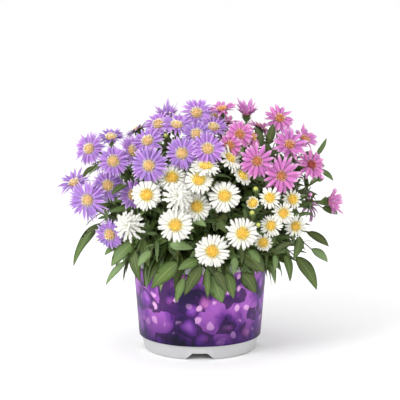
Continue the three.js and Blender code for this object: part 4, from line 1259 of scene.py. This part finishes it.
class Look:
    """A procedural material being put together"""

    def __init__(self, name, roughness, **constants):
        self.material = bpy.data.materials.new(name)
        self.material.use_nodes = True
        self.nodes = self.material.node_tree.nodes
        self.links = self.material.node_tree.links
        self.shader = self.nodes['Principled BSDF']
        self.shader.inputs['Roughness'].default_value = roughness
        for key, value in constants.items():
            self.shader.inputs[key.replace('_', ' ')].default_value = value

    def put(self, socket, value):
        """A link, a colour (a tuple), or a plain value on a socket"""
        if isinstance(value, bpy.types.NodeSocket):
            self.links.new(value, socket)
        else:
            socket.default_value = shade(*value) if isinstance(value, tuple) else value

    def node(self, kind, inputs=None, **settings):
        """The outputs of a new node with the given settings and inputs"""
        node = self.nodes.new('ShaderNode' + kind)
        for key, value in settings.items():
            setattr(node, key, value)
        for key, value in (inputs or {}).items():
            self.put(node.inputs[key], value)
        return node.outputs

    def mark(self, name):
        return self.node('Attribute', attribute_name=name)['Fac']

    def place(self):
        return self.node('TexCoord')['Object']

    def math(self, operation, a, b=0.0, clamp=False):
        return self.node('Math', {0: a, 1: b}, operation=operation, use_clamp=clamp)[0]

    def plus(self, a, b):
        return self.math('ADD', a, b)

    def times(self, a, b):
        return self.math('MULTIPLY', a, b)

    def ridges(self, value):
        """Rounded ridges side by side: the sine without its sign"""
        return self.math('ABSOLUTE', self.math('SINE', value))

    def mix(self, share, a, b, blend='MIX'):
        return self.node('Mix', {0: share, 6: a, 7: b}, data_type='RGBA', blend_type=blend)[2]

    def ramp(self, share, *stops):
        node = self.nodes.new('ShaderNodeValToRGB')
        elements = node.color_ramp.elements
        while len(elements) < len(stops):
            elements.new(0.5)
        for element, (position, colour) in zip(elements, stops):
            element.position = position
            element.color = shade(*colour)
        self.put(node.inputs[0], share)
        return node.outputs[0]

    def rising(self, value, low, high):
        return self.ramp(value, (low, BLACK), (high, WHITE))

    def falling(self, value, low, high):
        return self.ramp(value, (low, WHITE), (high, BLACK))

    def noise(self, scale, detail=3, vector=None, output='Fac'):
        inputs = {'Vector': vector or self.place(), 'Scale': scale, 'Detail': detail}
        return self.node('TexNoise', inputs)[output]

    def cells(self, scale, vector=None):
        return self.node('TexVoronoi', {'Vector': vector or self.place(), 'Scale': scale})

    def wobbled(self, scale, reach):
        """The place, pushed about by a noise"""
        push = self.noise(scale, 2, output='Color')
        inputs = {0: push, 1: [reach] * 3, 2: self.place()}
        return self.node('VectorMath', inputs, operation='MULTIPLY_ADD')[0]

    def tinted(self, colour, hue, low, high):
        """The finished material, its colour varied from one petal or leaf to the next"""
        tint = self.mark('tint')
        turned = self.plus(self.times(self.math('SUBTRACT', tint, 0.5), hue), 0.5)
        value = self.plus(self.times(tint, high - low), low)
        return self.coloured(self.node('HueSaturation', {'Hue': turned, 'Value': value, 'Color': colour})[0])

    def bump(self, height, strength, distance):
        bumped = self.node('Bump', {'Height': height, 'Strength': strength, 'Distance': distance})
        self.put(self.shader.inputs['Normal'], bumped[0])

    def coloured(self, colour):
        self.put(self.shader.inputs['Base Color'], colour)
        return self.material


def petal_look(name, root, middle, tip, vein, variation=(0.05, 0.82, 1.14)):
    look = Look(name, 0.6, Subsurface_Weight=0.25, Subsurface_Radius=PETAL_GLOW, Subsurface_Scale=1.0)
    along = look.ramp(look.mark('along'), (0.0, root), (0.3, middle), (0.7, middle), (1.0, tip))
    ridges = look.ridges(look.times(look.mark('across'), 7.5))
    look.bump(ridges, 0.35, FINE_RELIEF)
    veined = look.mix(look.times(look.math('POWER', ridges, 3.0), 0.5), along, vein)
    return look.tinted(veined, *variation)


def disc_look(name, low, rim, heart):
    look = Look(name, 0.65)
    # The colour low down the florets and on the disc between them is partly painted shade in the gaps
    height = look.ramp(look.mark('along'), (0.15, low), (0.55, heart), (0.85, rim))
    middle = look.falling(look.mark('across'), 0.1, 0.55)
    return look.tinted(look.mix(look.times(middle, 0.5), height, heart), 0.05, 0.86, 1.16)


def leaf_look():
    """Green with a pale midrib and side veins, some leaves darker and some paler"""
    look = Look('leaf_green', 0.5)
    across = look.math('ABSOLUTE', look.mark('across'))
    green = look.mix(look.noise(90), *LEAF_GREENS)
    midrib = look.falling(across, 0.0, 0.12)
    slant = look.math('SUBTRACT', look.times(look.mark('along'), 42.0), look.times(across, 5.0))
    veins = look.math('POWER', look.ridges(slant), 6.0)
    netted = look.mix(look.times(veins, 0.1), green, VEIN_GREEN)
    ribbed = look.mix(look.times(midrib, 0.34), netted, MIDRIB_GREEN)
    look.bump(look.plus(veins, look.times(midrib, 2.0)), 0.4, FINE_RELIEF)
    sage = look.times(look.math('POWER', look.mark('tint'), 4.0), 0.6)
    return look.tinted(look.mix(sage, ribbed, SAGE), 0.06, 0.56, 1.5)


def stem_look():
    look = Look('stem_green', 0.6)
    drawn_out = look.node('Mapping', {'Vector': look.place(), 'Scale': [6, 6, 1]})[0]
    streaks = look.noise(60, vector=drawn_out)
    look.bump(streaks, 0.3, STEM_RELIEF)
    return look.tinted(look.mix(streaks, *STEM_GREENS), 0.04, 0.75, 1.1)


def bract_look():
    look = Look('bract_green', 0.6)
    return look.tinted(look.ramp(look.mark('along'), *BRACT_GREENS), 0.04, 0.75, 1.15)


def bud_look():
    look = Look('bud_green', 0.55)
    return look.tinted(look.ramp(look.mark('along'), *BUD_GREENS), 0.04, 0.9, 1.1)


def pot_look():
    look = Look('off_white_plastic', 0.36, Specular_IOR_Level=0.4)
    look.bump(look.noise(900, 2), 0.12, FINE_RELIEF)
    return look.coloured(look.mix(look.noise(30), *POT_GREYS))


def sleeve_look():
    """Soft mottled violet, pink and indigo blotches, darker towards the foot"""
    look = Look('printed_film', 0.4, Specular_IOR_Level=0.2)
    moved = look.wobbled(55, 0.012)
    large = look.cells(66, moved)
    small = look.cells(120, moved)
    ground = look.ramp(look.noise(40, 5), *GROUND)
    spread = look.plus(large['Distance'], look.times(look.noise(70), 0.35))
    pinker = look.rising(look.noise(26, 2), 0.5, 0.58)
    blotch = look.mix(pinker, look.ramp(spread, *VIOLETS), look.ramp(spread, *MAUVES))
    chosen = look.rising(large['Color'], 0.42, 0.5)
    mottled = look.mix(look.times(chosen, 0.85), ground, blotch)
    spark = look.falling(small['Distance'], 0.3, 0.44)
    rare = look.rising(small['Color'], 0.6, 0.68)
    sparked = look.mix(look.times(look.times(spark, rare), 0.8), mottled, SPARK_PINK)
    height = look.node('SeparateXYZ', {0: look.place()})['Z']
    level = look.math('MULTIPLY', height, 1 / (SLEEVE_HIGH * MM), clamp=True)
    dark = look.ramp(level, (0.16, FOOT_SHADE), (0.6, WHITE))
    return look.coloured(look.mix(1.0, sparked, dark, 'MULTIPLY'))


def soil_look():
    look = Look('potting_soil', 0.95)
    clump = look.noise(180, 6)
    look.bump(look.plus(clump, look.cells(420)['Distance']), 0.8, SOIL_RELIEF)
    return look.tinted(look.ramp(clump, *SOIL_BROWNS), 0.03, 0.6, 1.5)


# Petals: colour at the root, in the middle, at the tip and in the veins, and how it varies
PETALS = {
    'purple': ((218, 192, 238), (180, 128, 218), (232, 204, 248), (118, 62, 172)),
    'pink': ((226, 160, 208), (214, 112, 192), (242, 186, 228), (182, 78, 160)),
    'white': ((238, 240, 216), (250, 249, 242), (250, 249, 242), (230, 227, 214), (0.0, 0.97, 1.03)),
}

# Discs: colour low down (the florets' deeper colour plus painted shade in the gaps), of the open florets,
# and of the closed ones in the middle
DISCS = {
    'purple': ((176, 118, 60), (255, 248, 212), (250, 218, 140)),
    'pink': ((140, 70, 52), (250, 204, 134), (224, 150, 90)),
    'red': ((120, 44, 48), (222, 120, 104), (186, 70, 66)),
    'white': ((208, 160, 36), (255, 242, 146), (252, 220, 84)),
}


def make_materials():
    made = {
        'bud': bud_look(),
        'leaf': leaf_look(),
        'stem': stem_look(),
        'bract': bract_look(),
        'pot': pot_look(),
        'sleeve': sleeve_look(),
        'soil': soil_look(),
    }
    for group, colours in PETALS.items():
        made[group] = petal_look(group + '_petals', *colours)
    for group, colours in DISCS.items():
        made[group + '_disc'] = disc_look(group + '_disc', *colours)
    return made


# Pieces


def settled(obj, node):
    """A piece that rides with the plant, in place of one solid"""
    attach(obj, 'root')
    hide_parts(node)


def make_blooms(materials):
    for bloom in bloom_plan:
        if bloom.name:
            shape = Shape()
            bloom_head(shape, bloom, 0, 1)
            group = bloom.name.split('_')[0]
            disc = 'red_disc' if bloom.name in RED_DISCS else group + '_disc'
            obj = shape.made('bloom_' + bloom.name, [materials[group], materials[disc]])
            settled(obj, bloom.name)


def of_stem(plans, stem):
    return [plan for plan in plans if plan.stem == stem]


def make_stem(stem, materials):
    """A stem with all that grows on it: stalks, cups, buds, shoots, leaves and its own blooms"""
    shape = Shape()
    group = stem.split('_')[0]
    keys = ['stem', 'leaf', 'bract', group, group + '_disc', 'bud']
    slots = {key: slot for slot, key in enumerate(keys)}
    stalk(shape, stem_curve(stem), MAIN_STEM, slots['stem'], 0.5, True)
    for bloom in of_stem(bloom_plan, stem):
        stalk(shape, bloom.stalk, STALK, slots['stem'], looks.uniform(0.2, 0.9))
        cup(shape, bloom, slots['bract'])
        if not bloom.name:
            bloom_head(shape, bloom, slots[group], slots[group + '_disc'])
    for plan in of_stem(bud_plan, stem):
        stalk(shape, plan.stalk, STALK, slots['stem'], looks.uniform(0.2, 0.9))
        bud(shape, plan, slots['bract'], slots['pink' if group == 'pink' else 'bud'])
    for plan in of_stem(shoot_plan, stem):
        stalk(shape, plan.curve, SHOOT, slots['stem'], 0.4, True)
    for plan in of_stem(leaf_plan, stem):
        leaf(shape, plan, slots['leaf'], slots['stem'])
    obj = shape.made('foliage_' + stem, [materials[key] for key in keys])
    settled(obj, 'leafy_stem_' + stem)


# Stage


def make_camera():
    data = bpy.data.cameras.new('camera')
    data.sensor_width = SENSOR_WIDTH
    data.lens = SENSOR_WIDTH * VIEW_DISTANCE / VIEW_WIDTH
    data.clip_start = CLIP_START
    data.clip_end = CLIP_END
    camera = placed('camera', data)
    back = vec(0, -cos(VIEW_TILT), sin(VIEW_TILT))
    camera.location = (VIEW_HEIGHT * UP + VIEW_DISTANCE * back) * MM
    camera.rotation_euler = (pi / 2 - VIEW_TILT, 0, 0)
    bpy.context.scene.camera = camera


def make_lamp(name, place, size, power):
    data = bpy.data.lights.new(name, 'AREA')
    data.size = size
    data.energy = power
    lamp = placed(name, data)
    lamp.location = place
    way = Vector(place) - Vector((0, 0, LAMP_AIM))
    lamp.rotation_euler = way.to_track_quat('Z', 'Y').to_euler()


def make_light():
    world = bpy.data.worlds.new('studio')
    world.use_nodes = True
    background = world.node_tree.nodes['Background']
    background.inputs['Color'].default_value = (1, 1, 1, 1)
    background.inputs['Strength'].default_value = 1.0
    bpy.context.scene.world = world
    bpy.context.scene.view_settings.view_transform = 'Standard'
    for name, lamp in LAMPS.items():
        make_lamp(name, *lamp)


def make_floor():
    """A plain white floor, wide enough to pass out of the picture on every side"""
    mesh = bpy.data.meshes.new('floor')
    corners = [(x * FLOOR_REACH, y * FLOOR_REACH, 0) for x, y in ((-1, -1), (1, -1), (1, 1), (-1, 1))]
    mesh.from_pydata(corners, [], [(0, 1, 2, 3)])
    mesh.materials.append(Look('studio_white', 0.9).coloured(WHITE))
    floor = placed('floor', mesh)
    floor.location.z = -FLOOR_GAP


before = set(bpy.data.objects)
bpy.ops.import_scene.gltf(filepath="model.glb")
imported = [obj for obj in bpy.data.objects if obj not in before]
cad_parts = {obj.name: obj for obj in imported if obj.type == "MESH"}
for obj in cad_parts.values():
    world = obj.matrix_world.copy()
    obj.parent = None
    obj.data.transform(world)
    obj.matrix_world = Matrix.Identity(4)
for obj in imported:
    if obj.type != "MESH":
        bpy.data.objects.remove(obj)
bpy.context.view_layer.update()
make_camera()
make_light()
make_floor()
plan_plant()
materials = make_materials()
settled(make_pot([materials['pot']]), 'pot_body')
settled(make_sleeve([materials['sleeve']]), 'printed_sleeve')
settled(make_soil([materials['soil']]), 'soil')
for stem in STEMS:
    make_stem(stem, materials)
make_blooms(materials)
